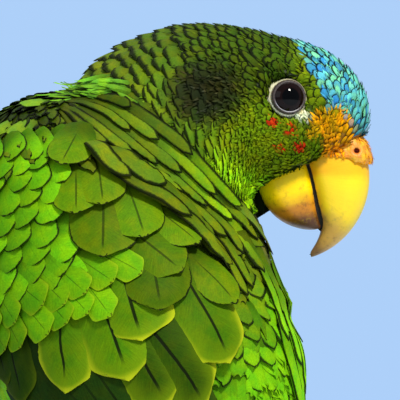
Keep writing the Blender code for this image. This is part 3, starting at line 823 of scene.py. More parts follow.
SCALE_OUTLINE = round_tip(0.22, 0.5, 0.68, 2.2)
BROAD_OUTLINE = round_tip(0.22, 0.45, 0.70, 2.3, 0.06)
COVERT_OUTLINE = round_tip(0.25, 0.5, 0.74, 2.5)
FLUFF_OUTLINE = ((0, 0.18), (0.3, 0.42), (0.6, 0.5), (0.85, 0.42), (1, 0.22))
WISP_OUTLINE = ((0, 0.3), (0.4, 0.5), (0.75, 0.38), (1, 0.06))
BLUNT_OUTLINE = round_tip(0.3, 0.45, 0.84, 3.2)
PLUME_OUTLINE = ((0, 0.3), (0.35, 0.5), (0.7, 0.42), (0.9, 0.22), (1, 0.06))
LONG_OUTLINE = round_tip(0.2, 0.35, 0.87, 2.2, 0.05)


def laying_tree():
    """Lays a vane on every root, bent to follow the ground under it.

    Each root has its own width, length, lift of the tip, way along and way out.
    """
    group = bpy.data.node_groups.new("lay the feathers", "GeometryNodeTree")
    face = group.interface
    face.new_socket("Roots", in_out="INPUT", socket_type="NodeSocketGeometry")
    for name, kind in (
        *((f"Vane {k + 1}", "NodeSocketObject") for k in range(VANE_KINDS)),
        ("Ground", "NodeSocketObject"),
        ("Finish", "NodeSocketMaterial"),
        ("Patch", "NodeSocketFloat"),
        ("Sink", "NodeSocketFloat"),
    ):
        face.new_socket(name, in_out="INPUT", socket_type=kind)
    face.new_socket("Feathers", in_out="OUTPUT", socket_type="NodeSocketGeometry")
    tree = Tree(group)
    names = [item.name for item in face.items_tree if item.in_out == "INPUT"]
    given = dict(zip(names, tree.node("NodeGroupInput", None, None, None)))

    def own(name, kind="FLOAT"):
        return tree.node("GeometryNodeInputNamedAttribute", {"data_type": kind}, {"Name": name})

    def kept(geometry, name, value, kind="FLOAT", domain="POINT"):
        sockets = {"Geometry": geometry, "Name": name, "Value": value}
        return tree.node("GeometryNodeStoreNamedAttribute", {"data_type": kind, "domain": domain}, sockets)

    def shape_of(obj):
        return tree.node("GeometryNodeObjectInfo", {"transform_space": "ORIGINAL"}, {"Object": obj}, "Geometry")

    def scaled(vector, length):
        return tree.node("ShaderNodeVectorMath", {"operation": "SCALE"}, {0: vector, "Scale": length})

    def added(first, second):
        return tree.node("ShaderNodeVectorMath", {"operation": "ADD"}, {0: first, 1: second})

    here = tree.node("GeometryNodeInputPosition")
    ground = shape_of(given["Ground"])
    shapes = tree.nodes.new("GeometryNodeGeometryToInstance")
    for k in range(VANE_KINDS):
        tree.links.new(shape_of(given[f"Vane {k + 1}"]).socket, shapes.inputs[0])

    def nearest(value, kind="FLOAT_VECTOR"):
        sockets = {"Mesh": ground, "Value": value, "Sample Position": here}
        return tree.node("GeometryNodeSampleNearestSurface", {"data_type": kind}, sockets)

    roots = kept(given["Roots"], "home", nearest(own("OFBake", "FLOAT_VECTOR")), "FLOAT_VECTOR")
    axes = {0: own("out", "FLOAT_VECTOR"), 1: own("way", "FLOAT_VECTOR")}
    turn = tree.node("FunctionNodeAxesToRotation", {"primary_axis": "Z", "secondary_axis": "Y"}, axes)
    size = tree.vector(own("wide"), own("long"), own("long"))
    laid = tree.node(
        "GeometryNodeInstanceOnPoints",
        None,
        {
            "Points": roots,
            "Instance": Sock(tree, shapes.outputs[0]),
            "Pick Instance": True,
            "Instance Index": own("kind", "INT"),
            "Rotation": turn,
            "Scale": size,
        },
    )
    real = tree.node("GeometryNodeRealizeInstances", None, {"Geometry": laid})
    # height over the ground: the tip's lift, the vane's own rise, and a little under at the root
    reach = own("along")
    height = own("tip") * reach + own("rise") * own("wide") - given["Sink"] * (1 - reach) + own("base")
    bent = added(nearest(here), scaled(nearest(own("outwards", "FLOAT_VECTOR")), height))
    moved = tree.node("GeometryNodeSetPosition", None, {"Geometry": real, "Position": bent})
    patch = tree.vector(own("across") * given["Patch"] * 0.5, (reach - 0.5) * given["Patch"])
    moved = kept(moved, "OFBake", added(own("home", "FLOAT_VECTOR"), patch), "FLOAT2", "CORNER")
    finished = tree.node("GeometryNodeSetMaterial", None, {"Geometry": moved, "Material": given["Finish"]})
    out = tree.nodes.new("NodeGroupOutput")
    tree.links.new(finished.socket, out.inputs[0])
    return group


LAYING = laying_tree()


def lay(name, roots, shapes, ground, finish, sink=0.15, patch=PATCH):
    """A piece of coat. roots is a dictionary of arrays, one entry for each feather, in mm and in the bird's frame."""
    obj = new_object(name, bmesh.new())
    mesh = obj.data
    count = len(roots["at"])
    mesh.vertices.add(count)
    set_corners(mesh, room(roots["at"]))
    for key in ("out", "way"):
        keep(mesh, key, roots[key], "FLOAT_VECTOR")
    for key in ("wide", "long", "tip", "base"):
        keep(mesh, key, roots[key] * MM)
    for key in ("tint", "marks"):
        keep(mesh, key, roots[key], "FLOAT_COLOR")
    keep(mesh, "kind", np.random.default_rng(len(name)).integers(0, VANE_KINDS, count), "INT")
    modifier = obj.modifiers.new("lay", "NODES")
    modifier.node_group = LAYING
    values = {f"Vane {k + 1}": shape for k, shape in enumerate(shapes)}
    values |= {"Ground": ground, "Finish": finish, "Patch": patch, "Sink": sink * MM}
    for item in LAYING.interface.items_tree:
        if item.name in values:
            modifier[item.identifier] = values[item.name]
    settled(obj)
    for key in ("out", "way", "wide", "long", "tip", "base", "home", "rise", "across", "along", "kind"):
        layer = obj.data.attributes.get(key)
        if layer:
            obj.data.attributes.remove(layer)
    return obj


def plumage_material():
    """Feather colour from each vane's tint and its own marks.

    The marks are how wide the dark fringe is at the tip and at the sides, how dark the quill is, and how yellow the
    rim is. The fringe is a share of the feather's width.
    """
    roughness = 0.6
    material, tree, shader = material_tree("green plumage", roughness)
    shader.inputs["Specular IOR Level"].default_value = 0.04
    u, v, _ = tree.part(tree.node("ShaderNodeUVMap", {"uv_map": "vane"}))
    tint = tree.own("tint", 0)
    marks = tree.own("marks", None)
    margin = tree.own("margin")
    tip_dark, side_dark, quill_dark = tree.part(marks[1])
    rim_yellow = marks[3]
    where = tree.place()
    across = abs(u * 2.0 - 1.0)
    slant = tree.vector((v - across * 0.3) * 85.0, u * 5.0, tree.part(tint)[1] * 300.0)
    barbs = tree.noise(slant, 1.0, 3.0, 0.6)
    mottle = tree.noise(where, 2300.0, 3.0, 0.6)
    blotch = tree.noise(where, 300.0, 3.0)
    near_tip = v.step(0.5, 0.78)
    fringe = side_dark * (1.0 - near_tip) * v.step(0.1, 0.35) + tip_dark * near_tip
    ragged = margin + ((barbs - 0.5) * 0.9 + (mottle - 0.5) * 0.7) * (fringe * 0.22 + 0.012)
    dark_edge = (1.0 - (ragged / (fringe * 0.42 + 0.0001)).step(0.5, 1.0)) * fringe.step(0.01, 0.07)
    quill = (1.0 - (across / (0.02 + 0.035 * quill_dark)).step(0.5, 1.0)) * quill_dark.least(1.0)
    quill = quill * v.step(0.2, 0.5) * (1.0 - v.step(0.82, 0.93))
    rim = (1.0 - ragged.step(0.0, 0.15)) * rim_yellow * v.step(0.55, 0.97) * 0.75
    glow = (1.0 - margin.step(0.05, 0.45)) * rim_yellow * v.step(0.4, 0.95)
    # darker towards the root: partly the greyer down at a feather's base, partly painted shade under the overlapping
    # tips of the feathers above
    shade = (0.40 + 0.60 * v.step(0.12, 0.66)) * (1.0 + 0.85 * (barbs - 0.5))
    shade = shade * (1.0 + 0.7 * (mottle - 0.5)) * (0.75 + 0.5 * blotch) * 1.12
    grey = tree.vector(shade, shade, shade)
    colour = tree.mix(1.0, tint, grey, "MULTIPLY")
    hue = tree.mix(blotch.step(0.35, 0.65), (0.86, 1.03, 1.2), (1.16, 1.0, 0.6))
    colour = tree.mix(1.0, colour, hue, "MULTIPLY")
    colour = tree.mix(glow * 0.45, colour, GLOW_GREEN)
    colour = tree.mix(rim, colour, RIM_YELLOW)
    colour = tree.mix(dark_edge.most(quill).least(1.0) * 0.94, colour, FRINGE_DARK)
    feed(tree, shader, "Base Color", colour)
    feed(tree, shader, "Roughness", roughness + 0.2 * (mottle - 0.5))
    bump(tree, shader, barbs + 0.4 * mottle - quill * 1.5, 0.5, 0.00015)
    return material


def skin_material():
    material, tree, shader = material_tree("feathered skin", 0.7)
    tint = tree.own("tint", 0)
    where = tree.place()
    down = tree.noise(where, 1400.0, 3.0)
    grey = 0.22 + 0.35 * down
    colour = tree.mix(1.0, tint, tree.vector(grey, grey, grey), "MULTIPLY")
    feed(tree, shader, "Base Color", colour)
    bump(tree, shader, down, 0.6, 0.0003)
    return material


def tree_of(points):
    """A tree that finds the nearest of some points."""
    tree = KDTree(len(points))
    for k, point in enumerate(points):
        tree.insert(point, k)
    tree.balance()
    return tree


def thinned(points, gaps, order=None):
    """Which points to keep so that none is nearer to a kept one than its gap."""
    tree = tree_of(points)
    kept = np.ones(len(points), bool)
    decided = np.zeros(len(points), bool)
    for k in range(len(points)) if order is None else order:
        if not kept[k]:
            continue
        decided[k] = True
        for _, other, _ in tree.find_range(points[k], float(gaps[k])):
            if other != k and not decided[other]:
                kept[other] = False
    return kept


# ---------------------------------------------------------------- the body's coat


def rows_along(guide, start_key, end_key, gap_rows):
    """Row numbers, a gap apart along the back line. The gaps in mm are given at some of the rows' keys."""
    length = guide.back_length()
    numbers = np.arange(len(length))
    row, last, rows = guide.row_at(start_key), guide.row_at(end_key), []
    while row < last:
        rows.append(row)
        gap = float(along_rows(gap_rows, guide.key_at(row))[0])
        here = np.interp(row, numbers, length)
        row = max(float(np.interp(here + gap, length, numbers)), row + 0.02)
    return rows


def lattice(guide, rows, columns):
    """Staggered places on the guide, with the way along, and the gaps to the next row and column."""
    step = 360 / columns
    row = np.repeat(rows, columns)
    angle = np.concatenate([-180 + (np.arange(columns) + 0.5 * (number % 2)) * step for number in range(len(rows))])
    way = guide.at(row + 0.25, angle) - guide.at(row - 0.25, angle)
    beside = guide.at(row, angle + step / 2) - guide.at(row, angle - step / 2)
    row_gap = np.linalg.norm(way, axis=1) * 2 * np.repeat(np.gradient(np.array(rows)), columns)
    way = unit(way)
    column_gap = np.linalg.norm(beside - way * np.sum(way * beside, axis=1)[:, None], axis=1)
    at = guide.at(row, angle)
    return {"at": at, "way": way, "row_gap": row_gap, "column_gap": column_gap, "angle": angle, "row": row}


def pick(roots, kept):
    return {key: value[kept] for key, value in roots.items()}


def spaced(roots, least, most, share, row_share=1.0):
    """The roots of a lattice that are not too near to each other, and the size of the gaps there."""
    roots["size"] = np.clip(np.minimum(roots["row_gap"] * row_share, roots["column_gap"]), least, most)
    return pick(roots, thinned(roots["at"], roots["size"] * share, np.argsort(-roots["size"])))


def joined(*parts):
    keys = set.intersection(*(set(p) for p in parts))
    return {key: np.concatenate([p[key] for p in parts]) for key in keys}


FAR_BESIDE = 90.0  # from here on the near side, level lines are drawn back onto the bird
LINE_REACH = 110.0


class Ground:
    """A surface that feathers lie on, with its smooth normals."""

    def __init__(self, obj):
        self.obj = obj
        self.tree = surface_tree(obj.data)
        self.normals = vertex_normals(obj.data)
        keep(obj.data, "outwards", self.normals, "FLOAT_VECTOR")
        self.faces = [tuple(p.vertices) for p in obj.data.polygons]

    def nearest(self, point):
        """The place on the surface nearest to a point, and the way out there. The point is in the room."""
        spot, _, face, _ = self.tree.find_nearest(Vector(point))
        return bird(spot), self.normals[list(self.faces[face])].mean(axis=0)

    def seen_beside(self, point):
        """Where a line from far out on the near side, level through a point, meets the surface, if it does."""
        spot = self.tree.ray_cast(Vector(room(point)), Vector(-HEAD_RIGHT), LINE_REACH * MM)[0]
        return None if spot is None else bird(spot)

    def settle(self, roots):
        """Moves roots onto the surface and gives them its way out, square to their way along."""
        at, out = np.empty_like(roots["at"]), np.empty_like(roots["at"])
        for k, point in enumerate(room(roots["at"])):
            at[k], out[k] = self.nearest(point)
        out = unit(out)
        way = roots["way"] - out * np.sum(out * roots["way"], axis=1)[:, None]
        roots.update(at=at, out=out, way=unit(way))
        return roots


def nearness(points, names):
    """How far points in the bird's frame are from the nearest of some CAD nodes, in mm."""
    least = np.full(len(points), np.inf)
    for name in names:
        tree = surface_tree(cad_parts[name].data)
        far = np.array([tree.find_nearest(Vector(p))[3] for p in room(points)]) / MM
        least = np.minimum(least, far)
    return least


def sunk_in(points, names):
    """Which points in the bird's frame are inside some CAD nodes, or just touch them."""
    inside = np.zeros(len(points), bool)
    way = Vector((0.31, 0.17, 0.94)).normalized()
    for name in names:
        tree = surface_tree(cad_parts[name].data)
        for k, point in enumerate(room(points)):
            start, walls = Vector(point), 0
            touching = tree.find_nearest(start)[3] < 0.1 * MM
            spot = tree.ray_cast(start, way)[0]
            while spot is not None and walls < 20:
                walls += 1
                spot = tree.ray_cast(spot + way * 1e-6, way)[0]
            inside[k] |= touching or walls % 2 == 1
    return inside


def with_gaps_filled(roots, points, size, reach):
    """The roots, and more of them wherever a place on the skin is farther from every root than size allows."""
    tree = tree_of(roots["at"])
    picked, like = [], []
    for k in chance.permutation(len(points)):
        _, near, far = tree.find(points[k])
        if size[near] < far < reach:
            picked.append(k)
            like.append(near)
    if not picked:
        return roots
    like = np.array(like)
    kept = thinned(points[picked], size[like] * 0.85)
    extra = {key: value[like[kept]] for key, value in roots.items()}
    extra["at"] = points[picked][kept]
    return joined(roots, extra)


def clear_of(points, others, gap):
    """The points that are farther than gap from all the others."""
    tree = tree_of(others)
    return points[[tree.find(point)[2] > gap for point in points]]


def wing_cover(points):
    """How far points lie under a wing, in degrees past its top edge. Places clear of the wings get -99."""
    cover = np.full(len(points), -99.0)
    for side in (-1, 1):
        places = np.linspace(0.2, 10.9, 90)
        angles = np.arange(-8.0, 127.0, 3.0)
        tree = tree_of([bed_point(side, place, angle, 1.0) for place in places for angle in angles])
        for k, point in enumerate(points):
            _, index, far = tree.find(Vector(point))
            place, angle = places[index // len(angles)], angles[index % len(angles)]
            top, bottom = along_rows(WING_OUTLINE, place)
            if far < 6 and angle < bottom - 4:  # near the wing, and not under its lower edge
                cover[k] = max(cover[k], angle - top - FAR_WING_SHIFT * (side > 0))
    return cover


# how far apart the rows of feathers are: the row's slope or number, and the gap in mm
WISP_GAPS = ((27, 0.7), (60, 0.8), (90, 1.0), (140, 1.6))
HEAD_GAPS = ((27, 1.3), (45, 1.8), (70, 2.0), (90, 2.2), (108, 2.7), (114, 3.4), (152, 3.7))
MANTLE_GAPS = ((149, 5.5), (161, 5.5), (180, 6.0), (186, 6.0))
BODY_GAPS = ((180, 6.0), (183, 6.0), (186, 5.5), (188, 5.0))
HEAD_START, NAPE_START, NAPE_END = 27, 109, 152  # slopes of rows
BARE = ["bill_upper", "bill_lower", "cere"]
EYE_RINGS = ["eye_ring_right", "eye_ring_left"]

chance = np.random.default_rng(7)


def dressed(roots, wide, long, tip, base, tint, marks, vary, sway):
    """Adds sizes, colours and marks to settled roots, each a little different from the next.

    tip and base are how far the feather's tip and the whole of it are lifted. Where there is no tint, it is the
    markings' colour some way along the feather.
    """
    count = len(roots["at"])

    def filled(value):
        return np.broadcast_to(np.asarray(value, float), (count,)).copy()

    jitter = 1 + vary * chance.uniform(-1, 1, (count, 3))
    roots["wide"] = filled(wide) * jitter[:, 0]
    roots["long"] = filled(long) * jitter[:, 1]
    roots["tip"] = filled(tip) * jitter[:, 2]
    roots["base"] = filled(base) + 0.03 * chance.uniform(-1, 1, count)
    if tint is None:
        tint = markings(roots["at"] + roots["way"] * (0.6 * roots["long"])[:, None])
    shade = 1 + 0.14 * chance.uniform(-1, 1, (count, 1)) + 0.05 * chance.uniform(-1, 1, (count, 3))
    roots["tint"] = np.clip(tint * shade, 0, 1)
    roots["marks"] = np.stack([filled(mark) for mark in marks], -1)
    side = np.cross(roots["out"], roots["way"])
    roots["way"] = unit(roots["way"] + side * chance.normal(0, sway, (count, 1)))
    return roots


def head_and_nape_coats(skin, ground, guide, finish):
    """Small scales in rows that fan out from the fold of the throat. Gives their roots too."""
    parts = []
    for start, end, columns in ((HEAD_START, NAPE_START, 60), (NAPE_START, NAPE_END, 46)):
        parts.append(spaced(lattice(guide, rows_along(guide, start, end, HEAD_GAPS), columns), 0.9, 3.8, 0.72, 1.15))
    roots = joined(*parts)
    skin_points = bird(corners(skin.data))
    roots = with_gaps_filled(roots, skin_points[from_eyes(skin_points)[1] > -34], 0.95 * roots["size"], 7.0)
    roots = ground.settle(roots)
    roots = pick(roots, ~sunk_in(roots["at"], BARE) & (nearness(roots["at"], EYE_RINGS) > 0.9))
    roots = pick(roots, ~in_sheaf(roots["at"], roots["out"]))
    key = guide.key_at(roots["row"])
    nape = smooth_step(92, 122, key)
    ahead, up, _ = from_eyes(roots["at"])
    brow = smooth_step(1, 6, ahead) * smooth_step(-4, 2, in_head(roots["at"])[1])
    wide = np.clip(roots["column_gap"] * (1.25 + 0.15 * nape), 1.3, 4.3)
    long = np.clip(roots["row_gap"] * 2.2, 2.4, 8.5)
    lift = 0.35 + 0.10 * long + 0.35 * nape + 0.35 * brow * chance.random(len(key))
    soft = (1 - 0.5 * ear_share(roots["at"])) * (1 - 0.3 * smooth_step(2, -4, up) * smooth_step(-24, -16, ahead))
    marks = ((0.55 + 0.35 * nape - 0.1 * brow) * soft, (0.40 - 0.22 * nape) * soft, 0.0, 0.0)
    roots = dressed(roots, wide, long, lift, 0.05, None, marks, 0.16, 0.09)
    low = key > NAPE_START
    roots["wide"][low] *= 1.2
    fore = smooth_step(0, 2, past_brow(ahead, up))
    roots["long"] *= 1 + 0.35 * fore
    roots["wide"] *= 1 - 0.12 * fore
    roots["tint"][low] = np.clip(roots["tint"][low] * 1.15, 0, 1)
    scale = vanes("scale", SCALE_OUTLINE, 4, 7, 0.12, 0.05, 1.6, fray=0.13)
    blunt = vanes("blunt", BLUNT_OUTLINE, 5, 8, 0.10, 0.05, 1.5, fray=0.07, fringe=1.6)
    pieces = [lay("head_coat", pick(roots, ~low), scale, skin, finish)]
    pieces.append(lay("nape_coat", pick(roots, low), blunt, skin, finish))
    return pieces, roots["at"]


def trunk_coat(skin, ground, guide, finish):
    """Broad soft feathers round the breast, the belly and the flanks, as far as the wings' edges."""
    roots = spaced(lattice(guide, rows_along(guide, 181, 188, BODY_GAPS), 34), 1.5, 8, 0.62)
    skin_points = bird(corners(skin.data))
    roots = with_gaps_filled(roots, skin_points[skin_points[:, 2] > 42], roots["size"], 6.5)
    roots = ground.settle(roots)
    roots = pick(roots, wing_cover(roots["at"]) < 6)
    roots = pick(roots, roots["at"][:, 2] > 40)
    wide = np.clip(roots["column_gap"] * 1.5, 3.2, 10)
    long = np.clip(roots["row_gap"] * 2.4, 8, 15)
    roots = dressed(roots, wide, long, 1.1 + 0.03 * long, 0.1, None, (0.10, 0.08, 0.15, 0.15), 0.12, 0.12)
    soft = vanes("trunk_soft", FLUFF_OUTLINE, 8, 8, 0.12, 0.06, 1.7, fray=0.25)
    return lay("trunk_coat", roots, soft, skin, finish)


def mantle_coat(skin, ground, guide, finish, covered):
    """Long narrow feathers that wind from the nape across to the far side."""
    roots = spaced(lattice(guide, rows_along(guide, 150.5, 184.5, MANTLE_GAPS), 30), 1.8, 8, 0.66)
    free = clear_of(bird(corners(skin.data)), covered, 2.5)
    roots = with_gaps_filled(roots, free, 0.75 * roots["size"], 7.5)
    roots = ground.settle(roots)
    roots = pick(roots, (wing_cover(roots["at"]) < 7) & ~in_sheaf(roots["at"], roots["out"]))
    roots = pick(roots, np.linalg.norm(roots["at"] - THROAT_FOLD - HEAD_RIGHT * 12, axis=1) > 9)
    low = smooth_step(160, 183, guide.key_at(roots["row"]))
    wide = np.clip(roots["column_gap"] * 1.4, 3.2, 4.6 + 2.4 * low)
    long = 13.5 - 1.0 * low
    roots = dressed(roots, wide, long, 1.3, 0.9, None, (0.34 + 0.1 * low, 0.42, 0.25, 0.0), 0.08, 0.05)
    mantle = vanes("mantle", SCALE_OUTLINE, 6, 10, 0.12, 0.04, 2.6, fray=0.1)
    return lay("mantle_coat", roots, mantle, skin, finish, sink=0.9)


def add_body_coat(skin, ground, guide, finish):
    pieces, covered = head_and_nape_coats(skin, ground, guide, finish)
    pieces.append(face_wisps(skin, ground, guide, finish))
    pieces += nape_ruff(skin, ground, finish) + [chin_tuft(finish)]
    pieces.append(trunk_coat(skin, ground, guide, finish))
    pieces.append(mantle_coat(skin, ground, guide, finish, covered))
    return pieces + mantle_sheaf(skin, ground, finish)


def face_wisps(skin, ground, guide, finish):
    """Fine short wisps that soften the cheeks, the ear patch and the lores."""
    rows = rows_along(guide, HEAD_START, 140, WISP_GAPS)
    roots = lattice(guide, rows, 150)
    ahead, crown = from_eyes(roots["at"])[0], in_head(roots["at"])[1]
    cheek = smooth_step(9, 1, crown) * smooth_step(-40, -30, ahead)
    over_eye = np.exp(-((ahead / 9) ** 2) - ((crown - 7) / 4.5) ** 2)
    roots["soft"] = np.maximum(np.maximum(cheek, 0.35 * smooth_step(-40, -26, ahead)), over_eye)
    roots = pick(roots, chance.random(len(roots["soft"])) < roots["soft"])
    count = len(roots["at"])
    roots["at"] = roots["at"] + chance.normal(0, 0.35, (count, 3))
    roots = pick(roots, thinned(roots["at"], 0.75 - 0.27 * roots["soft"]))
    face = bird(corners(skin.data))
    forward, crown, _ = in_head(face)
    roots = with_gaps_filled(roots, face[(forward > -6) & (crown < 12)], np.full(len(roots["at"]), 0.85), 3.5)
    roots = ground.settle(roots)
    roots = pick(roots, ~sunk_in(roots["at"], BARE) & (nearness(roots["at"], EYE_RINGS) > 0.25))
    count = len(roots["at"])
    ear = ear_share(roots["at"])
    tint = markings(roots["at"]) * (1 + 0.4 * chance.uniform(-1, 1, (count, 1)))
    tint = tint + (ear * chance.random(count) ** 2)[:, None] * EAR_FLECK
    lift = chance.uniform(0.35, 0.95, count) + 0.5 * ear
    sway = 0.25 + 0.2 * ear[:, None]
    roots = dressed(roots, 0.62, 2.3 + 0.9 * ear, lift, 0.15, tint, (0.10, 0.0, 0.0, 0.0), 0.25, sway)
    return lay("face_wisps", roots, vanes("wisp", WISP_OUTLINE, 2, 3, 0.1, 0.1, 2.5), skin, finish)


def chin_tuft(finish):
    """Feathers under the chin, behind the lower bill, tinted near-black as painted shade."""
    feathers = []
    for k in range(9):
        share = k / 8
        root = beside_eye(-10.6 + 4.4 * share, -21.6, -2.0 + 0.8 * (k % 3))
        tip = beside_eye(-8.9 + 4.2 * share, -29.6 + 2.6 * share, -1.2 + 0.8 * (k % 3))
        feathers.append({
            "path": np.linspace(root, tip, 8), "outs": np.tile(HEAD_RIGHT, (8, 1)), "half": 1.2, "cup": 0.4,
            "outline": FLUFF_OUTLINE, "lifts": (0.0, 0.0), "quill_at": 0.5, "marks": (0.3, 0.2, 0.0, 0.0),
            "tints": (linear(26, 38, 10), linear(14, 20, 8)),
        })
    return strip_feathers("chin_tuft", feathers, finish, across=4, along=8)


# level and upright places of the ruff's upper and lower edges, from the eyes
RUFF_TOP = ((-62.0, -1.0), (-57.0, 1.4), (-50.0, 4.0), (-45.4, 5.0), (-38.0, 4.4), (-30.0, 1.0))
RUFF_FOOT = ((-62.0, -3.0), (-56.9, -0.7), (-46.6, 0.0), (-39.4, -0.5), (-33.4, -4.3), (-30.0, -6.5))
SHOULDER = (  # level and upright places of root and tip, width, and how bright
    (-54.6, -1.4, -63.4, -4.6, 5.6, 1.0),
    (-58.0, -6.0, -66.8, -9.4, 5.2, 1.1),
    (-62.6, -5.6, -71.0, -7.6, 4.6, 0.9),
)


def nape_ruff(skin, ground, finish):
    """Long loose feathers at the foot of the nape, that stream back over the shoulder's bend."""
    at, way = [], []
    for row in range(9):
        for column in range(6):
            ahead = -51.0 + 2.0 * row + chance.uniform(-0.9, 0.9)
            share = (column + chance.uniform(0.1, 0.9)) / 6
            top, foot = (float(along_rows(line, ahead)[0]) for line in (RUFF_TOP, RUFF_FOOT))
            top_too, foot_too = (float(along_rows(line, ahead - 4)[0]) for line in (RUFF_TOP, RUFF_FOOT))
            up = foot + (top - foot) * share
            spot = ground.seen_beside(beside_eye(ahead, up, FAR_BESIDE))
            if spot is not None:
                at.append(spot)
                way.append(unit(-AHEAD * 4 + UP * (foot_too + (top_too - foot_too) * share - up)))
    roots = ground.settle({"at": np.array(at), "way": np.array(way)})
    count = len(roots["at"])
    tint = linear(100, 156, 36) * chance.uniform(0.4, 1.25, (count, 1))
    long = chance.uniform(7.5, 10.5, count)
    ahead, up, _ = from_eyes(roots["at"])
    high = smooth_step(3.0, 0.6, np.interp(ahead, *zip(*RUFF_TOP)) - up) * smooth_step(-36, -44, ahead)
    lift = chance.uniform(1.0, 1.9, count) + 0.8 * high
    roots = dressed(roots, 1.5, long, lift, 1.0 + 0.6 * high, tint, (0.0, 0.34, 0.0, 0.0), 0.2, 0.07)
    plume = vanes("ruff", PLUME_OUTLINE, 3, 9, 0.14, 0.03, 5.0, fray=0.2)
    ruff = lay("nape_ruff", roots, plume, skin, finish, sink=0.6)
    ends = np.array(SHOULDER)
    start, tip = (EYE_LEVEL + ends[:, [k]] * AHEAD + ends[:, [k + 1]] * UP for k in (0, 2))
    at = [ground.seen_beside(point + HEAD_RIGHT * FAR_BESIDE) for point in start]
    roots = ground.settle({"at": np.array(at), "way": unit(tip - start)})
    long = np.linalg.norm(tip - start, axis=1)
    tint = linear(96, 134, 30) * ends[:, [5]]
    roots = dressed(roots, ends[:, 4], long, 1.4, 1.7, tint, (0.14, 0.06, 0.2, 0.1), 0.02, 0.01)
    broad = vanes("shoulder", COVERT_OUTLINE, 8, 12, 0.1, 0.05, 1.5, fray=0.04)
    return [ruff, lay("shoulder_coverts", roots, broad, skin, finish, sink=1.0)]


def sheaf_place(row, share):
    """Level and upright measures of a place in the sheaf.

    The row is how far along it, and the share how far across it, from its upper to its lower edge.
    """
    rows = np.array(SHEAF)
    numbers = np.arange(len(rows))
    edges = np.stack([np.interp(row, numbers, rows[:, k]) for k in range(4)], -1)
    share = np.asarray(share)[..., None]
    return edges[..., :2] * (1 - share) + edges[..., 2:] * share


def in_sheaf(points, outs):
    """Which places the sheaf covers."""
    flat = np.stack(from_eyes(points)[:2], -1)
    upper, lower = np.array(SHEAF)[:, :2], np.array(SHEAF)[:, 2:]
    inside = np.zeros(len(points), bool)
    for number, (a, b, c, d) in enumerate(zip(upper, upper[1:], lower[1:], lower)):
        quad = np.array([a, b, c, d])
        turns = [np.cross(q - p, flat - p) for p, q in zip(quad, np.roll(quad, -1, 0))]
        within = np.all([t <= 0.4 for t in turns], axis=0) | np.all([t >= -0.4 for t in turns], axis=0)
        inside |= within & (outs @ HEAD_RIGHT > (-0.1 if number < 7 else STEEPEST))
    return inside


STAGGER = 0.618  # how far each column of feathers starts past the one before it, as a share of a step
RUMP_FROM = 20  # is added to the rump's row numbers, so that its feathers are told apart
LAST_FOLD_ROW = 6.0  # past this row the sheaf's upper edge is the back's contour
STEEPEST = 0.22  # the least that the sheaf's lower feathers face the near side
BRIGHTER, MUCH_BRIGHTER = (0.95, 1.3), (1.15, 1.6)  # from and to how much brighter strips are than the markings
STRIP_BANDS = (  # strips, first and last share across, first and last row, rows from one to the next, rows long
    (7, 0.0, 1.0, -0.9, 5.4, 1.9, 3.4),
    (6, -0.25, 0.38, 7.0, 13.9, 2.1, 3.6),
)
SHEAF_ZONES = (  # columns, first and last share, first and last row, step in mm, spread, length in mm, and turn
    (3, 0.2, 1.0, 5.9, 10.6, 5.2, 1.75, 12.0, 0.0),
    (13, 0.2, 1.05, 9.9, 14.2, 2.6, 2.1, 11.0, 0.7),
)


def on_sheaf(ground, row, share):
    """The place on the skin under a place in the sheaf, and whether the skin is there at all."""
    ahead, up = sheaf_place(row, share)
    spot = ground.seen_beside(beside_eye(ahead, up, FAR_BESIDE))
    if spot is None:
        return ground.nearest(room(beside_eye(ahead, up, 4.0)))[0], False
    return spot, True


def on_edge(ground, row, share):
    """The place in the sheaf nearest to the one asked for where the skin still faces the near side."""
    for step in range(14):
        place, seen = on_sheaf(ground, row, share + 0.03 * step)
        if seen:
            out = ground.settle({"at": place[None], "way": -UP[None]})["out"][0]
            if out @ HEAD_RIGHT > 0.12:
                return place, True
    return place, False


def raised_by_wing(points):
    """How far feathers are pushed up where they run onto a wing, from 0 to 1."""
    return np.clip((wing_cover(points) + 4) / 10, 0, 1)


def strip(ground, share, spread, rows, low):
    """One strip of the sheaf over the given rows, or None where the skin turns away from the near side."""
    found = [(on_sheaf if row < LAST_FOLD_ROW else on_edge)(ground, row, share) for row in rows]
    if not all(seen for (_, seen), row in zip(found, rows) if row >= LAST_FOLD_ROW):
        return None
    path = np.array([place for place, _ in found])
    path[1:-1] = (path[:-2] + 2 * path[1:-1] + path[2:]) / 4
    roots = ground.settle({"at": path.copy(), "way": unit(np.gradient(path, axis=0))})
    beside = [[on_sheaf(ground, row, share + half * spread)[0] for half in (-0.5, 0.5)] for row in rows]
    pitch = np.clip([np.linalg.norm(b - a) for a, b in beside], 1.1, 3.4)
    shares = np.linspace(0, 1, len(rows))
    tip = np.sqrt(np.clip(1 - ((shares - 0.84) / 0.16).clip(0) ** 2, 0, 1))
    if low:
        lifts = 1.7 + 0.6 * shares + 0.7 * smooth_step(10.4, 12.4, rows)
    else:
        lifts = 0.9 + 1.9 * raised_by_wing(path) + 1.3 * shares
    tints = markings(path[[4, -3]]) * chance.uniform(*(MUCH_BRIGHTER if low else BRIGHTER))
    return {
        "path": path, "outs": roots["out"], "half": 0.5 * pitch.max() * 1.32, "lifts": lifts, "quill_at": 0.5,
        "outline": tuple(zip(shares, np.maximum(0.5 * pitch / pitch.max() * tip, 0.03))), "cup": 0.25, "tilt": 0.22,
        "marks": (0.45, 0.3 if low else 0.55, 0.0, 0.0), "tints": tints,
    }


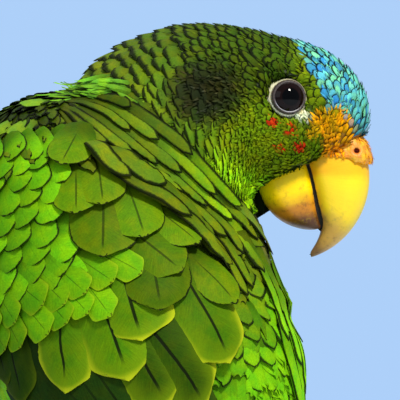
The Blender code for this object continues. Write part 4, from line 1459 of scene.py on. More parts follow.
def sheaf_strips(ground, finish):
    """The long mantle feathers, in strips that run side by side from the shoulder's bend and down the back's edge."""
    feathers = []
    for count, first_share, last_share, first, last, step, reach in STRIP_BANDS:
        spread = (last_share - first_share) / count
        for column in range(count):
            start = first + step * ((column * STAGGER) % 1)
            while start < last:
                rows = np.linspace(max(start, 0), start + reach, 18)
                start += step * chance.uniform(0.9, 1.1)
                feather = strip(ground, first_share + (column + 0.5) * spread, spread, rows, first > 0)
                if feather:
                    feathers.append(feather)
    return strip_feathers("mantle_strips", feathers, finish, ground, across=6, along=24, thickness=0.18)


def mantle_sheaf(skin, ground, finish):
    """The mantle feathers of the near side: long and narrow at first, rounder down the back, and loose at the rump."""
    at, way, wide, long, zone = [], [], [], [], []
    for columns, first_share, last_share, first, last, step, spread, length, turn in SHEAF_ZONES:
        for column in range(columns):
            row = first + (step / 6.5) * ((column * STAGGER) % 1)
            across = (last_share - first_share) / columns
            while row < last:
                share = first_share + (column + 0.5) * across
                (here, found), (there, found_too) = on_sheaf(ground, row, share), on_sheaf(ground, row + 0.2, share)
                gap = np.linalg.norm(on_sheaf(ground, row, share - across)[0] - here)
                speed = np.linalg.norm(there - here) / 0.2
                if found and found_too and (share > 0.3 or row < 8.0):
                    at.append(here)
                    way.append(unit(unit(there - here) + AHEAD * turn * chance.uniform(0.5, 1.4)))
                    wide.append(min(gap * spread, 7.5))
                    long.append(length)
                    zone.append(row + RUMP_FROM * (columns > 5))
                row += step / max(speed, 3.0) * chance.uniform(0.9, 1.1)
    roots = {"at": at, "way": way, "wide_given": wide, "long_given": long, "row": zone}
    roots = ground.settle({key: np.array(value) for key, value in roots.items()})
    roots = pick(roots, roots["out"] @ HEAD_RIGHT > STEEPEST)
    gaps = np.where(roots["row"] > RUMP_FROM, 0.9, 2.0)
    roots = pick(roots, thinned(roots["at"], gaps, np.argsort(roots["row"])))
    rump = roots["row"] > RUMP_FROM
    pieces = [sheaf_strips(ground, finish)]
    for name, chosen, mark, sway, fray, outline, aspect in (
        ("mantle_sheaf", ~rump, (0.36, 0.2, 0.1, 0.0), 0.05, 0.05, SCALE_OUTLINE, 2.0),
        ("rump_sheaf", rump, (0.0, 0.0, 0.0, 0.0), 0.1, 0.16, PLUME_OUTLINE, 4.5),
    ):
        part = pick(roots, chosen)
        base = 1.0 + 1.9 * raised_by_wing(part["at"])
        part = dressed(part, part.pop("wide_given"), part.pop("long_given"), 1.3, base, None, mark, 0.12, sway)
        shapes = vanes(name, outline, 6, 12, 0.14, 0.03, aspect, fray=fray)
        pieces.append(lay(name, part, shapes, skin, finish, sink=1.0))
    return pieces


# ---------------------------------------------------------------- the wings

WING_BED = (  # middle x, y, z, half width, back depth, belly depth
    (0, 14, 152, 29.8, 27.2, 30.4),
    (0, 12, 140, 34, 31.4, 33.4),
    (0, 8.5, 124, 35.6, 33.6, 35),
    (0, 5, 113, 35.6, 36.1, 37),
    (0, 0, 100, 35.6, 38.1, 39),
    (0, -7, 86, 34.6, 36.1, 38),
    (0, -16, 72, 30.2, 28, 33),
    (0, -27, 60.5, 23.5, 19, 22),
    (0, -42, 49, 17.5, 11, 12),
    (0, -58, 38, 14.5, 7.2, 9),
    (0, -74, 27.5, 12.5, 5.6, 7.5),
    (0, -90, 17, 10, 4.8, 6.5),
)
SECTION_POWER = 2.15
WING_OUTLINE = (  # place, and the angles of the top and bottom edges
    (0.3, 64, 88), (0.6, 46, 108), (1, 30, 116), (1.5, 18, 118), (2, 11, 118), (3, 8, 115), (4, 10, 112),
    (5, 14, 107), (6, 18, 100), (7, 18, 90), (8, 17, 80), (9, 20, 74), (10, 24, 68), (10.8, 34, 56),
)
FAR_WING_SHIFT = 30.0  # how much lower the far wing is held, in degrees
BED_LIFT = {1: -1.3, -1: 0.4}  # the far wing is pressed a little closer
BED_SEARCH = (-5.0, 7.0)  # how far under and over the wing's own shape the skin is looked for


def smooth_row(rows, place):
    """The row of numbers at a place along rows, on a smooth curve through all of them."""
    first = max(0, min(int(place), len(rows) - 2))
    share = place - first
    before, start = np.array(rows[max(first - 1, 0)], float), np.array(rows[first], float)
    end, after = np.array(rows[first + 1], float), np.array(rows[min(first + 2, len(rows) - 1)], float)
    bend = 3 * (start - end) + after - before
    return start + 0.5 * share * (end - before + share * (2 * before - 5 * start + 4 * end - after + share * bend))


def bed_point(side, place, angle, lift=0.0):
    """A point over the folded wing's bed: place is a row of WING_BED, angle is from the back's middle line."""
    x, y, z, half_width, back_depth, belly_depth = smooth_row(WING_BED, place)
    low, high = max(place - 0.05, 0), min(place + 0.05, len(WING_BED) - 1)
    along = unit(smooth_row(WING_BED, high)[:3] - smooth_row(WING_BED, low)[:3])
    behind = np.array((0.0, -1.0, 0.0))
    back = unit(behind - along * (behind @ along))
    right = np.cross(along, back)
    turn = -side * math.radians(angle)
    sine = math.copysign(abs(math.sin(turn)) ** (2 / SECTION_POWER), math.sin(turn))
    cosine = math.copysign(abs(math.cos(turn)) ** (2 / SECTION_POWER), math.cos(turn))
    depth = back_depth if cosine > 0 else belly_depth
    return np.array((x, y, z)) + right * sine * (half_width + lift) + back * cosine * (depth + lift)


def sheet_object(name, grid, flip):
    """A scratch surface through a grid of points in the bird's frame."""
    bm = bmesh.new()
    rows = [[bm.verts.new(p) for p in room(row)] for row in grid]
    for low, high in zip(rows, rows[1:]):
        for c in range(len(low) - 1):
            loop = (low[c], low[c + 1], high[c + 1], high[c])
            bm.faces.new(loop[::-1] if flip else loop).smooth = True
    layer = bm.loops.layers.uv.new("OFBake")
    bm.verts.index_update()
    across = len(rows[0])
    for face in bm.faces:
        for loop in face.loops:
            index = loop.vert.index
            loop[layer].uv = (0.02 + 0.96 * (index % across) / (across - 1), 0.02 + 0.96 * (index // across) / (len(rows) - 1))
    return new_object(name, bm)


def wing_bed(side, side_name, skin_tree):
    """The surface that a wing lies on: its own shape, or the skin where that stands out more."""
    grid = []
    for place in np.linspace(0, 11, 89):
        row = []
        for angle in np.linspace(0, 132, 67):
            inner, outer = (room(bed_point(side, place, angle, depth)) for depth in BED_SEARCH)
            spot, _, _, far = skin_tree.ray_cast(Vector(outer), Vector(unit(inner - outer)), 12 * MM)
            lift = BED_SEARCH[0] if spot is None or place > 6 else BED_SEARCH[1] - far / MM + 0.15
            row.append(bed_point(side, place, angle, min(max(lift, BED_LIFT[side]), 2.0)))
        grid.append(row)
    grid = Guide.soften(np.array(grid), 1, closed=False)
    return Ground(sheet_object(f"bed_{side_name}", grid, side > 0))


# Big feathers of the shoulder: where the tip lies on the bed as row and angle, width and length in mm, how far the
# root leans towards the back's middle line, in degrees on the bed, and how bright it is. The brightness is partly the
# feather's own tone and partly painted shade, which darkens the low tertials and the scapulars that face the key lamp.
SCAPULARS = (
    (1.05, 60, 10.5, 14, 4, 1.0),
    (1.8, 57.5, 12.0, 16, 4, 1.0),
    (1.72, 46.5, 12.5, 16, 0, 1.05),
    (2.95, 53.5, 17.0, 22, 10, 0.72),
    (2.7, 36, 14.0, 20, -1, 1.0),
    (3.05, 19, 11.0, 17, -14, 0.9),
    (3.6, 31, 15.0, 21, -14, 0.7),
    (4.45, 12, 11.0, 20, -14, 0.9),
    (4.2, 40, 17.0, 24, 6, 0.56),
)
TERTIALS = (
    (4.62, 52, 18.0, 32, 4, 1.1),
    (5.52, 16, 17.0, 40, -10, 1.0),
    (5.1, 61, 18.0, 44, 1, 1.1),
    (6.4, 18, 20.0, 52, -22, 0.45),
    (5.9, 47, 18.0, 46, -8, 0.45),
    (4.82, 88, 17.0, 42, 16, 1.25),
    (4.6, 99, 12.0, 38, 4, 0.26),
    (4.25, 105, 10.0, 36, 2, 0.2),
)


def laid_on_bed(side, rows):
    """Roots for feathers whose tips are given on the bed: each is drawn back over it until it is as long as asked."""
    at, way, wide, long = [], [], [], []
    for place, angle, width, length, lean, _ in rows:
        angle += FAR_WING_SHIFT * (side > 0) * (angle < 80)
        tip = bed_point(side, place, angle, 0.5)
        low, high = 0.0, 6.0
        for _ in range(24):
            middle = (low + high) / 2
            reach = np.linalg.norm(bed_point(side, max(place - middle, 0), angle - lean * middle / 2, 0.5) - tip)
            low, high = (middle, high) if reach < length else (low, middle)
        root = bed_point(side, max(place - low, 0), angle - lean * low / 2, 0.5)
        at.append(root)
        way.append(unit(tip - root))
        wide.append(width)
        long.append(length)
    roots = {"at": at, "way": way, "long_given": long, "wide_given": wide}
    return {key: np.array(value) for key, value in roots.items()}


def bed_lattice(side, places, lean):
    """Staggered rows of small coverts on the bed: each row is a place, its first and last angle, and its count."""
    at, way, wide, turn = [], [], [], []
    for number, (place, first, last, count) in enumerate(places):
        for k in range(count):
            angle = first + (last - first) * (k + 0.5 * (number % 2)) / count
            here = bed_point(side, place, angle, 0.5)
            at.append(here)
            way.append(unit(bed_point(side, place + 0.1, angle + lean, 0.5) - here))
            wide.append(np.linalg.norm(bed_point(side, place, angle + (last - first) / count, 0.5) - here))
            turn.append(angle)
    roots = {"at": at, "way": way, "wide_given": wide, "angle": turn}
    return {key: np.array(value) for key, value in roots.items()}


LESSER_ROWS = tuple((0.1 + 0.29 * k, 64 - 3 * min(k, 5), 122, 7) for k in range(9))
LESSER_EDGE = 57  # nearer the back's middle line than this, the lesser coverts lie under the shoulder's big feathers
MEDIAN_ROWS = ((2.45, 56, 116, 7), (2.95, 60, 118, 7))


def add_wing(side, side_name, finish, skin_tree):
    bed = wing_bed(side, side_name, skin_tree)
    near = side < 0
    broad = vanes("broad", BROAD_OUTLINE, 12, 20, 0.07, 0.03, 1.4, fray=0.015)
    covert = vanes("covert", COVERT_OUTLINE, 8, 12, 0.09, 0.03, 1.4, fray=0.04)
    long_vane = vanes("long", LONG_OUTLINE, 12, 26, 0.06, 0.02, 2.6, fray=0.006)
    pieces = []

    def add(group, roots, shapes, sizes, tints, marks, vary, sway, **given):
        """Lays one group of the wing's feathers. sizes are width, length, lift of the tip and lift of the whole."""
        roots = dressed(roots, *sizes, tints, marks, vary, sway)
        pieces.append(lay(f"wing_{side_name}_{group}", roots, shapes, bed.obj, finish, **given))

    def coloured(tint, bright):
        return tint * np.asarray(bright)[:, None]

    roots = bed.settle(laid_on_bed(side, TERTIALS))
    lift = (1.5 if near else 0.5) + 0.8 * np.linspace(1, 0, len(TERTIALS))
    rim = np.array([1.2 if angle < 95 else 0.1 for _, angle, *_ in TERTIALS])
    sizes = (roots.pop("wide_given"), roots.pop("long_given"), lift, 0.0)
    tints = coloured(linear(64, 99, 3), [row[-1] for row in TERTIALS])
    add("tertials", roots, long_vane, sizes, tints, (0.0, 0.04, 1.0, rim), 0.02, 0.01, patch=0.12)

    roots = bed.settle(bed_lattice(side, MEDIAN_ROWS, -1))
    tints = coloured(linear(86, 140, 6), chance.uniform(0.8, 1.2, len(roots["at"])))
    sizes = (1.4 * roots.pop("wide_given"), 14, *((1.9, 0.9) if near else (1.0, 0.3)))
    add("median_coverts", roots, long_vane, sizes, tints, (0.05, 0.06, 0.5, 0.45), 0.08, 0.05, patch=0.05)

    roots = bed.settle(bed_lattice(side, LESSER_ROWS, -1))
    bright = chance.uniform(0.8, 1.15, len(roots["at"]))
    # those that lie under the scapulars are tinted darker as painted shade; they are also shorter and lie lower
    under = smooth_step(12, 4, roots.pop("angle") - LESSER_EDGE)
    tints = coloured(linear(96, 154, 8), bright) * (1 - under)[:, None] + linear(70, 100, 6) * under[:, None]
    sizes = (1.4 * roots.pop("wide_given"), 9.5 - 2.0 * under, 1.4 - 0.9 * under, 0.8 - 0.8 * under)
    add("lesser_coverts", roots, covert, sizes, tints, (0.2, 0.12, 0.15, 0.1), 0.12, 0.07, patch=0.03)

    roots = bed.settle(laid_on_bed(side, SCAPULARS))
    lift = (2.2 if near else 0.9) + 0.5 * np.linspace(1, 0, len(SCAPULARS))
    sizes = (roots.pop("wide_given"), roots.pop("long_given"), lift, 0.8 if near else 0.2)
    tints = coloured(linear(82, 113, 4), [row[-1] for row in SCAPULARS])
    add("scapulars", roots, broad, sizes, tints, (0.09, 0.03, 0.7, 0.1), 0.02, 0.02, sink=1.2, patch=0.08)
    pieces.append(flight_feathers(side, side_name, bed, finish))
    bpy.data.objects.remove(bed.obj)
    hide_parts(f"wing_{side_name}_secondaries", f"wing_{side_name}_primaries")
    return pieces


# ---------------------------------------------------------------- flight and tail feathers


def at_shares(values, shares):
    """Values given from a feather's root to its tip, at shares of the way."""
    values = np.asarray(values, float)
    places = np.linspace(0, 1, len(values))
    if values.ndim == 1:
        return np.interp(shares, places, values)
    return np.stack([np.interp(shares, places, values[:, k]) for k in range(values.shape[1])], -1)


def strip_feathers(name, feathers, finish, ground=None, across=8, along=30, thickness=0.22):
    """Long feathers as solid strips.

    Each has a path of points, ways out beside them, half its width, an outline, lifts from root to tip, the share of
    its width on the left of the quill, a tint for root and tip, marks, and how much its sides turn down or tilt.
    """
    bm = bmesh.new()
    uv = bm.loops.layers.uv.new("vane")
    bake = bm.loops.layers.uv.new("OFBake")
    tint = bm.verts.layers.float_color.new("tint")
    marks = bm.verts.layers.float_color.new("marks")
    margin = bm.verts.layers.float.new("margin")
    cells = math.ceil(math.sqrt(len(feathers)))
    shares = 1 - (1 - np.linspace(0, 1, along + 1)) ** 1.3
    for number, feather in enumerate(feathers):
        aspect = np.linalg.norm(np.diff(feather["path"], axis=0), axis=1).sum() / (2 * feather["half"])
        path = at_shares(feather["path"], shares)
        outs = unit(at_shares(feather["outs"], shares))
        ways = unit(np.gradient(path, axis=0))
        rows = []
        for share, middle, out, way in zip(shares, path, outs, ways):
            side = np.cross(way, out)
            half = feather["half"] * float(np.interp(share, *zip(*feather["outline"]))) / 0.5
            mixed = feather["tints"][0] * (1 - share) + feather["tints"][1] * share
            row = []
            for c in range(across + 1):
                place = 2 * c / across - 1
                off = half * (place + 1 - 2 * feather["quill_at"])
                back_step = 0.035 * place * place * share * feather["half"] * 2
                point = middle + side * off - way * back_step
                lift = at_shares(feather["lifts"], share)
                lift += (feather.get("tilt", 0.0) * place - feather["cup"] * place * place) * half / feather["half"]
                over = out
                if ground is not None:
                    point, over = ground.nearest(room(point))
                    over = unit(over)
                vert = bm.verts.new(room(point + over * lift))
                vert[tint] = (*mixed, 1)
                vert[marks] = feather["marks"]
                x = 0.5 * place * half / feather["half"]
                vert[margin] = margin_distance(x, share, feather["outline"], aspect)
                row.append(vert)
            rows.append(row)
        column, line = number % cells, number // cells
        for r, (low, high) in enumerate(zip(rows, rows[1:])):
            for c in range(across):
                face = bm.faces.new((low[c], low[c + 1], high[c + 1], high[c])[::-1])
                face.smooth = True
                spots = ((c, r), (c + 1, r), (c + 1, r + 1), (c, r + 1))[::-1]
                for loop, (i, j) in zip(face.loops, spots):
                    u, v = i / across, j / along
                    loop[uv].uv = (u, v)
                    loop[bake].uv = ((column + 0.04 + 0.92 * u) / cells, (line + 0.04 + 0.92 * v) / cells)
    obj = new_object(name, bm)
    obj.data.materials.append(finish)
    solid = obj.modifiers.new("thickness", "SOLIDIFY")
    solid.thickness = thickness * MM
    solid.offset = -1
    return settled(obj)


def bed_path(side, root, tip, bow):
    """A path over the wing's bed from one place and angle to another, with the ways out along it."""
    shares = np.linspace(0, 1, 24)
    places = root[0] + (tip[0] - root[0]) * shares
    angles = root[1] + (tip[1] - root[1]) * shares + bow * np.sin(math.pi * shares)
    path = np.array([bed_point(side, p, a, 0.5) for p, a in zip(places, angles)])
    outs = np.array([bed_point(side, p, a, 1.5) for p, a in zip(places, angles)]) - path
    return {"path": path, "outs": unit(outs)}


PRIMARY_OUTLINE = ((0, 0.3), (0.1, 0.42), (0.4, 0.5), (0.7, 0.46), (0.85, 0.38), (0.93, 0.27), (0.98, 0.13), (1, 0.04))
SECONDARIES = 9
PRIMARIES = 9


def flight_feathers(side, side_name, bed, finish):
    feathers = []
    for k in range(PRIMARIES):
        share = k / (PRIMARIES - 1)
        path = bed_path(side, (3.2 + 0.4 * share, 100 + 4 * share), (8.3 + 2.4 * share, 66 - 18 * share), bow=6)
        feathers.append(path | {
            "half": 6.2 - 1.0 * share, "outline": PRIMARY_OUTLINE, "lifts": (0.15, 0.9 - 0.5 * share), "quill_at": 0.36,
            "cup": 0.25, "tints": (linear(30, 56, 8), linear(20, 32, 42)), "marks": (0.05, 0.05, 0.9, 0.1),
        })
    # the secondaries' dark green is partly their own colour and partly painted shade in the gaps between the tertials
    for k in range(SECONDARIES):
        share = k / (SECONDARIES - 1)
        shift = FAR_WING_SHIFT * (side > 0) * (1 - share)
        tip = (6.9 + 0.75 * share, 26 + 44 * share + shift)
        path = bed_path(side, (2.7 + 0.5 * share, 48 + 52 * share + shift), tip, bow=5)
        feathers.append(path | {
            "half": 7.5, "outline": LONG_OUTLINE, "lifts": (0.3, 1.35 - 0.35 * share), "quill_at": 0.4, "cup": 0.3,
            "tints": (linear(40, 66, 6), linear(28, 52, 8)), "marks": (0.05, 0.05, 0.9, 0.2),
        })
    return strip_feathers(f"wing_{side_name}_flight_feathers", feathers, finish, bed)


TAIL_ROOT = np.array((0, -44.2, 45.6))
TAIL_TIP = np.array((0, -112.5, 0.55))
TAIL = (  # share of the length, half width, half thickness, droop of the sides
    (0, 9, 2.6, 1),
    (0.15, 12, 2.5, 1.5),
    (0.5, 15, 2, 2),
    (0.8, 16.5, 1.4, 1.6),
    (0.92, 15.5, 1.1, 1),
    (1, 14.5, 0.9, 0.6),
)
TAIL_PAIRS = 6
TAIL_LINE = TAIL_TIP - TAIL_ROOT
TAIL_UP = unit(np.cross(np.array((1.0, 0, 0)), unit(TAIL_LINE)))
TAIL_UP = TAIL_UP if TAIL_UP[2] > 0 else -TAIL_UP
RIGHT = np.array((1.0, 0, 0))


def tail_feathers(finish):
    """Six pairs, the middle pair on top."""
    feathers = []
    for pair in range(TAIL_PAIRS)[::-1]:
        for side in (-1, 1):
            offset = side * (pair + 0.5) / (TAIL_PAIRS - 0.35)
            reach = 1 - 0.012 * pair * pair / 2
            shares = np.linspace(-0.06, reach, 20)
            half_width, half_thick, droop = along_rows(TAIL, np.clip(shares, 0, 1)).T
            sideways = offset * (half_width - 5.6 * smooth_step(0, 0.3, shares))
            top = half_thick * 0.55 - droop * (sideways / half_width) ** 2 - 0.16 * pair
            path = TAIL_ROOT + TAIL_LINE * shares[:, None] + RIGHT * sideways[:, None] + TAIL_UP * top[:, None]
            path[:, 2] = np.maximum(path[:, 2], 0.55 + 0.05 * (TAIL_PAIRS - pair))
            outs = np.tile(TAIL_UP, (len(shares), 1)) + RIGHT * (0.22 * offset)
            bright = 1 - 0.06 * pair
            feathers.append({
                "path": path, "outs": unit(outs), "half": 6.6, "outline": LONG_OUTLINE, "lifts": (0, 0),
                "quill_at": 0.5 - 0.12 * side * (pair > 0), "cup": 0.25, "marks": (0.05, 0.08, 0.6, 0.5),
                "tints": (linear(70, 130, 24) * bright, linear(120, 168, 40) * bright),
            })
    return strip_feathers("tail_feathers", feathers, finish, across=6, along=24, thickness=0.25)


# ---------------------------------------------------------------- thighs, rump and vent


THIGH = (  # middle x, y, z and the mean radius of the feathered leg
    (16, 1, 82, 12),
    (17.6, 6, 68, 13.5),
    (18.2, 5, 52, 10.3),
    (18.0, 0.5, 38, 6.6),
    (17.5, -2.6, 27, 4.0),
    (17.4, -3.3, 21.5, 2.8),
)


def leg_guide(side, ground):
    """Rings down the thigh, from the outside of the body to the ankle."""
    rows = np.array(THIGH, float)
    rows[:, 0] *= side
    places = np.arange(0, len(rows) - 1 + 0.01, 1 / 5)
    points = np.stack([np.interp(places, np.arange(len(rows)), rows[:, k]) for k in range(3)], -1)
    ways = unit(np.gradient(points, axis=0))
    frames = []
    for key, middle, way in zip(places, points, ways):
        back = unit(np.array((0, -1.0, 0)) - way * (-way[1]))
        frames.append((middle, way, np.cross(back, way), back, key))
    return Guide(frames, ground.tree, around=72, limit=24.0)


def add_leg_coat(side, side_name, skin, ground, finish, shape):
    guide = leg_guide(side, ground)
    roots = lattice(guide, np.linspace(2, len(guide.keys) - 1.2, 17), 22)
    reach = np.linalg.norm(roots["at"] - guide.at(roots["row"], roots["angle"] + 180), axis=1)
    roots = pick(roots, reach < 33)
    roots["size"] = np.clip(np.maximum(roots["column_gap"], 0.7 * roots["row_gap"]), 1.0, 3.5)
    roots = pick(roots, thinned(roots["at"], 0.7 * np.clip(roots["column_gap"], 1.0, 3.5)))
    points = bird(corners(skin.data))
    points = points[(points[:, 2] < 62) & (points[:, 2] > 22) & (points[:, 0] * side > 0)]
    roots["at"] = roots["at"] + roots["way"] * chance.uniform(-1.1, 1.1, (len(roots["at"]), 1))
    roots = with_gaps_filled(roots, points, 1.1 * roots["size"], 5.0)
    roots = ground.settle(roots)
    roots = pick(roots, wing_cover(roots["at"]) < 0)
    ankle = smooth_step(40, 26, roots["at"][:, 2])
    wide = np.clip(roots["column_gap"] * 1.5, 2.0, 6)
    long = np.clip(1.9 * wide, 5, 9) - 1.2 * ankle
    roots = dressed(roots, wide, long, 0.9 - 0.4 * ankle, 0.1, None, (0.06, 0.04, 0.1, 0.1), 0.25, 0.18)
    return lay(f"thigh_{side_name}_coat", roots, shape, skin, finish)


TAIL_SLEEVE = ((-0.16, 12.5, 7.6), (0, 11.6, 5.6), (0.2, 11.0, 3.4), (0.45, 10.4, 2.3), (0.62, 9.0, 1.6))


def on_sleeve(share, angle):
    """A place on the sleeve round the tail's root. Angle 0 is on top."""
    half_width, thick = along_rows(TAIL_SLEEVE, share)
    return TAIL_ROOT + TAIL_LINE * share + RIGHT * half_width * math.sin(angle) + TAIL_UP * thick * math.cos(angle)


def add_tail_coverts(finish):
    """Soft coverts over and under the root of the tail, laid on a scratch sleeve round it."""
    angles = np.linspace(0, math.tau, 49)
    rings = [[on_sleeve(share, angle) for angle in angles] for share in np.linspace(-0.16, 0.62, 40)]
    ground = Ground(sheet_object("tail_sleeve", rings, True))
    at, long = [], []
    count = 18
    for row in range(13):
        share = -0.13 + 0.034 * row
        for k in range(count):
            angle = math.tau * (k + 0.5 * (row % 2)) / count
            if row > 8 and math.cos(angle) > -0.2 and row % 2:
                continue
            at.append(on_sleeve(share, angle))
            long.append(13 + 0.5 * row)
    way = np.tile(unit(TAIL_LINE), (len(at), 1))
    roots = ground.settle({"at": np.array(at), "way": way})
    tint = np.tile(linear(116, 176, 30), (len(at), 1))
    roots = dressed(roots, 6.2, np.array(long), 1.0, 0.1, tint, (0.08, 0.06, 0.3, 0.25), 0.08, 0.08)
    shapes = vanes("tail_covert", SCALE_OUTLINE, 6, 8, 0.1, 0.04, fray=0.15)
    piece = lay("tail_coverts", roots, shapes, ground.obj, finish, patch=0.03)
    bpy.data.objects.remove(ground.obj)
    return piece


# ---------------------------------------------------------------- eyes

EYE_RADIUS = 5.0
EYE_AXIS = unit(np.array((1, 0.22, 0.17)))
EYE_FROM_LEVEL = np.array((15.2, 0, 0)) - 4.0 * EYE_AXIS  # right, forward and up in the head
PUPIL_EDGE, IRIS_EDGE = (1.9, 2.25), (3.3, 3.7)  # from and to how far off the eye's axis they blend
LID_OPENING = 3.62
LID_PROFILE = (  # how far out from the rim of the opening, and height over the ball; past LID_BASE it is bare skin
    (-0.55, -0.35), (-0.2, -0.08), (0.0, 0.16), (0.12, 0.42), (0.3, 0.50), (0.5, 0.40), (0.62, 0.16), (0.72, 0.10),
    (0.9, 0.24), (1.2, 0.30), (1.55, 0.26), (1.9, 0.16), (2.2, -0.1), (2.6, -0.7), (3.2, -1.5),
)
LID_BASE = 0.72
LID_STEPS = 120


def eye_frame(side):
    """The eye's middle, and its axis, forward and up ways, in the bird's frame."""

    def turned(v):
        return HEAD_RIGHT * v[0] * side + HEAD_FORWARD * v[1] + HEAD_UP * v[2]

    middle = EYE_LEVEL + turned(EYE_FROM_LEVEL)
    axis = turned(EYE_AXIS)
    ahead = unit(AHEAD - axis * (AHEAD @ axis))
    up = np.cross(axis, ahead)
    return middle, axis, ahead, up if up[2] > 0 else -up


def eye_ball(side, side_name, finish):
    bm = bmesh.new()
    bmesh.ops.create_uvsphere(bm, u_segments=56, v_segments=36, radius=1.0)
    middle, axis, ahead, up = eye_frame(side)
    off = bm.verts.layers.float.new("off_axis")
    for vert in bm.verts:
        x, y, z = vert.co
        vert[off] = math.hypot(x, y) * EYE_RADIUS if z > 0 else EYE_RADIUS
        swell = 1 + 0.035 * max(0.0, z - 0.75) / 0.25
        vert.co = Vector(room(middle + EYE_RADIUS * swell * (ahead * x + up * y + axis * z)))
    bmesh.ops.recalc_face_normals(bm, faces=bm.faces)
    for face in bm.faces:
        face.smooth = True
    obj = new_object(f"eye_ball_{side_name}", bm)
    obj.data.materials.append(finish)
    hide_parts(f"eye_{side_name}")
    return obj


def lid_reach(angle):
    """How far the bare skin reaches from the eye's middle. Angle 0 is ahead and 90 degrees is up."""
    degrees = math.degrees(angle) % 360
    corner = math.exp(-(((degrees - 164) / 22) ** 2))
    below = math.exp(-((((degrees - 308 + 180) % 360 - 180) / 36) ** 2))
    return 4.5 + 1.5 * corner + 1.0 * below


def eye_lids(side, side_name, finish):
    """The lids' dark rim and the pale bare skin round the eye, with its pleats."""
    middle, axis, ahead, up = eye_frame(side)
    random = np.random.default_rng(3)
    pleats = random.uniform(0.6, 1.4, LID_STEPS)
    bm = bmesh.new()
    zone, under, above = (bm.verts.layers.float.new(key) for key in ("zone", "under", "above"))
    loops = []
    for a in range(LID_STEPS):
        angle = math.tau * a / LID_STEPS
        stretch = lid_reach(angle) - LID_OPENING - 0.75
        loop = []
        for out, height in LID_PROFILE:
            past = out if out <= LID_BASE else LID_BASE + (out - LID_BASE) * stretch + 0.35 * max(out - 1.9, 0)
            reach = LID_OPENING * (1 + 0.02 * math.cos(2 * angle)) + past
            if out > LID_BASE:
                height += 0.05 * math.sin(angle * 38 + 2.0 * out) * pleats[a] * math.exp(-((out - 1.3) / 0.7) ** 2)
            elif out > 0:
                height += 0.035 * math.sin(angle * 30) * pleats[a]
            on_ball = math.sqrt(max(EYE_RADIUS**2 - min(reach, 4.6) ** 2, 0)) - 0.62 * max(reach - 4.6, 0)
            point = middle + (ahead * math.cos(angle) + up * math.sin(angle)) * reach + axis * (on_ball + height)
            vert = bm.verts.new(room(point))
            vert[zone] = out
            vert[under] = max(0.0, -math.sin(angle + 0.35))
            vert[above] = max(0.0, math.cos(angle - math.radians(60)))
            loop.append(vert)
        loops.append(loop)
    for a, loop in enumerate(loops):
        following = loops[(a + 1) % LID_STEPS]
        for c in range(len(LID_PROFILE) - 1):
            face = bm.faces.new((loop[c], following[c], following[c + 1], loop[c + 1]))
            face.smooth = True
    obj = new_object(f"eye_lids_{side_name}", bm)
    normals = vertex_normals(obj.data)
    if (normals @ axis).mean() < 0:
        obj.data.flip_normals()
    obj.data.materials.append(finish)
    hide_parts(f"eye_ring_{side_name}")
    return obj


def eye_material():
    material, tree, shader = material_tree("dark eye", 0.05, coat=0.11, coat_roughness=0.02)
    shader.inputs["Specular IOR Level"].default_value = 0.08
    off = tree.own("off_axis")
    where = tree.place()
    fibres = tree.noise(where, 2600.0, 3.0)
    iris = tree.mix(fibres, linear(8, 4, 4), linear(26, 10, 8))
    colour = tree.mix(off.step(*PUPIL_EDGE), linear(1, 1, 2), iris)
    colour = tree.mix(off.step(*IRIS_EDGE), colour, linear(4, 3, 5))
    feed(tree, shader, "Base Color", colour)
    return material


def lid_material():
    material, tree, shader = material_tree("bare skin round the eye", 0.45, subsurface=0.1)
    zone = tree.own("zone")
    where = tree.place()
    grain = tree.noise(where, 2200.0, 3.0)
    pale = tree.mix(grain, linear(214, 206, 160), linear(250, 244, 214))
    dark = tree.mix(grain, linear(26, 20, 22), linear(80, 66, 64))
    above = tree.own("above")
    pale = tree.mix(above * 0.75, pale, linear(122, 112, 74))
    colour = tree.mix((zone + 0.25 * (grain - 0.5)).step(0.52, 0.78), dark, pale)
    colour = tree.mix((zone + 0.8 * (grain - 0.5)).step(1.8, 2.3), colour, linear(62, 74, 30))
    # painted highlight: a pale gleam along the lower rim, mixed into the colour
    painted_gleam = (1.0 - abs(zone + 0.12).step(0.04, 0.14)) * tree.own("under").step(0.4, 0.8)  # a gleam on the lower rim
    colour = tree.mix(painted_gleam * 0.7, colour, linear(190, 192, 206))
    feed(tree, shader, "Base Color", colour)
    bump(tree, shader, grain, 0.5, 0.0001)
    return material


# ---------------------------------------------------------------- bill and cere


def refined(name, node, levels):
    """A smooth fine copy of a CAD node's shape."""
    whole = cad_shapes([node], 0.0)
    bend = math.radians(50)
    bmesh.ops.join_triangles(whole, faces=whole.faces, angle_face_threshold=bend, angle_shape_threshold=bend)
    obj = new_object(name, whole)
    finer = obj.modifiers.new("fine", "SUBSURF")
    finer.levels = finer.render_levels = levels
    settled(obj)
    obj.data.shade_smooth()
    return obj


def run_together(name, nodes, voxel, rounds, swell, start=None):
    """CAD shapes run into one even skin, then smoothed a few times over."""
    obj = cast(new_object(name, cad_shapes(nodes, swell, start)), voxel)
    set_corners(obj.data, relaxed(corners(obj.data), edge_pairs(obj.data), rounds))
    obj.data.shade_smooth()
    return obj


CULMEN_CENTRE = (7.5, -17.5)  # forward and up in the head
CULMEN_RADIUS = 20.2
CULMEN_START, CULMEN_SWEEP = 32, 82.5  # where its ridge leaves the cere, and how far round it goes, in degrees
NOSTRIL = (16.1, -12.7)  # level and upright from the eyes
MOUTH_LINE = ((4.1, -16.0), (7.3, -31.0))
CERE_LINE = ((7.9, -13.9), (18.2, -15.2))  # level and upright from the eyes, where the soft skin ends on the bill


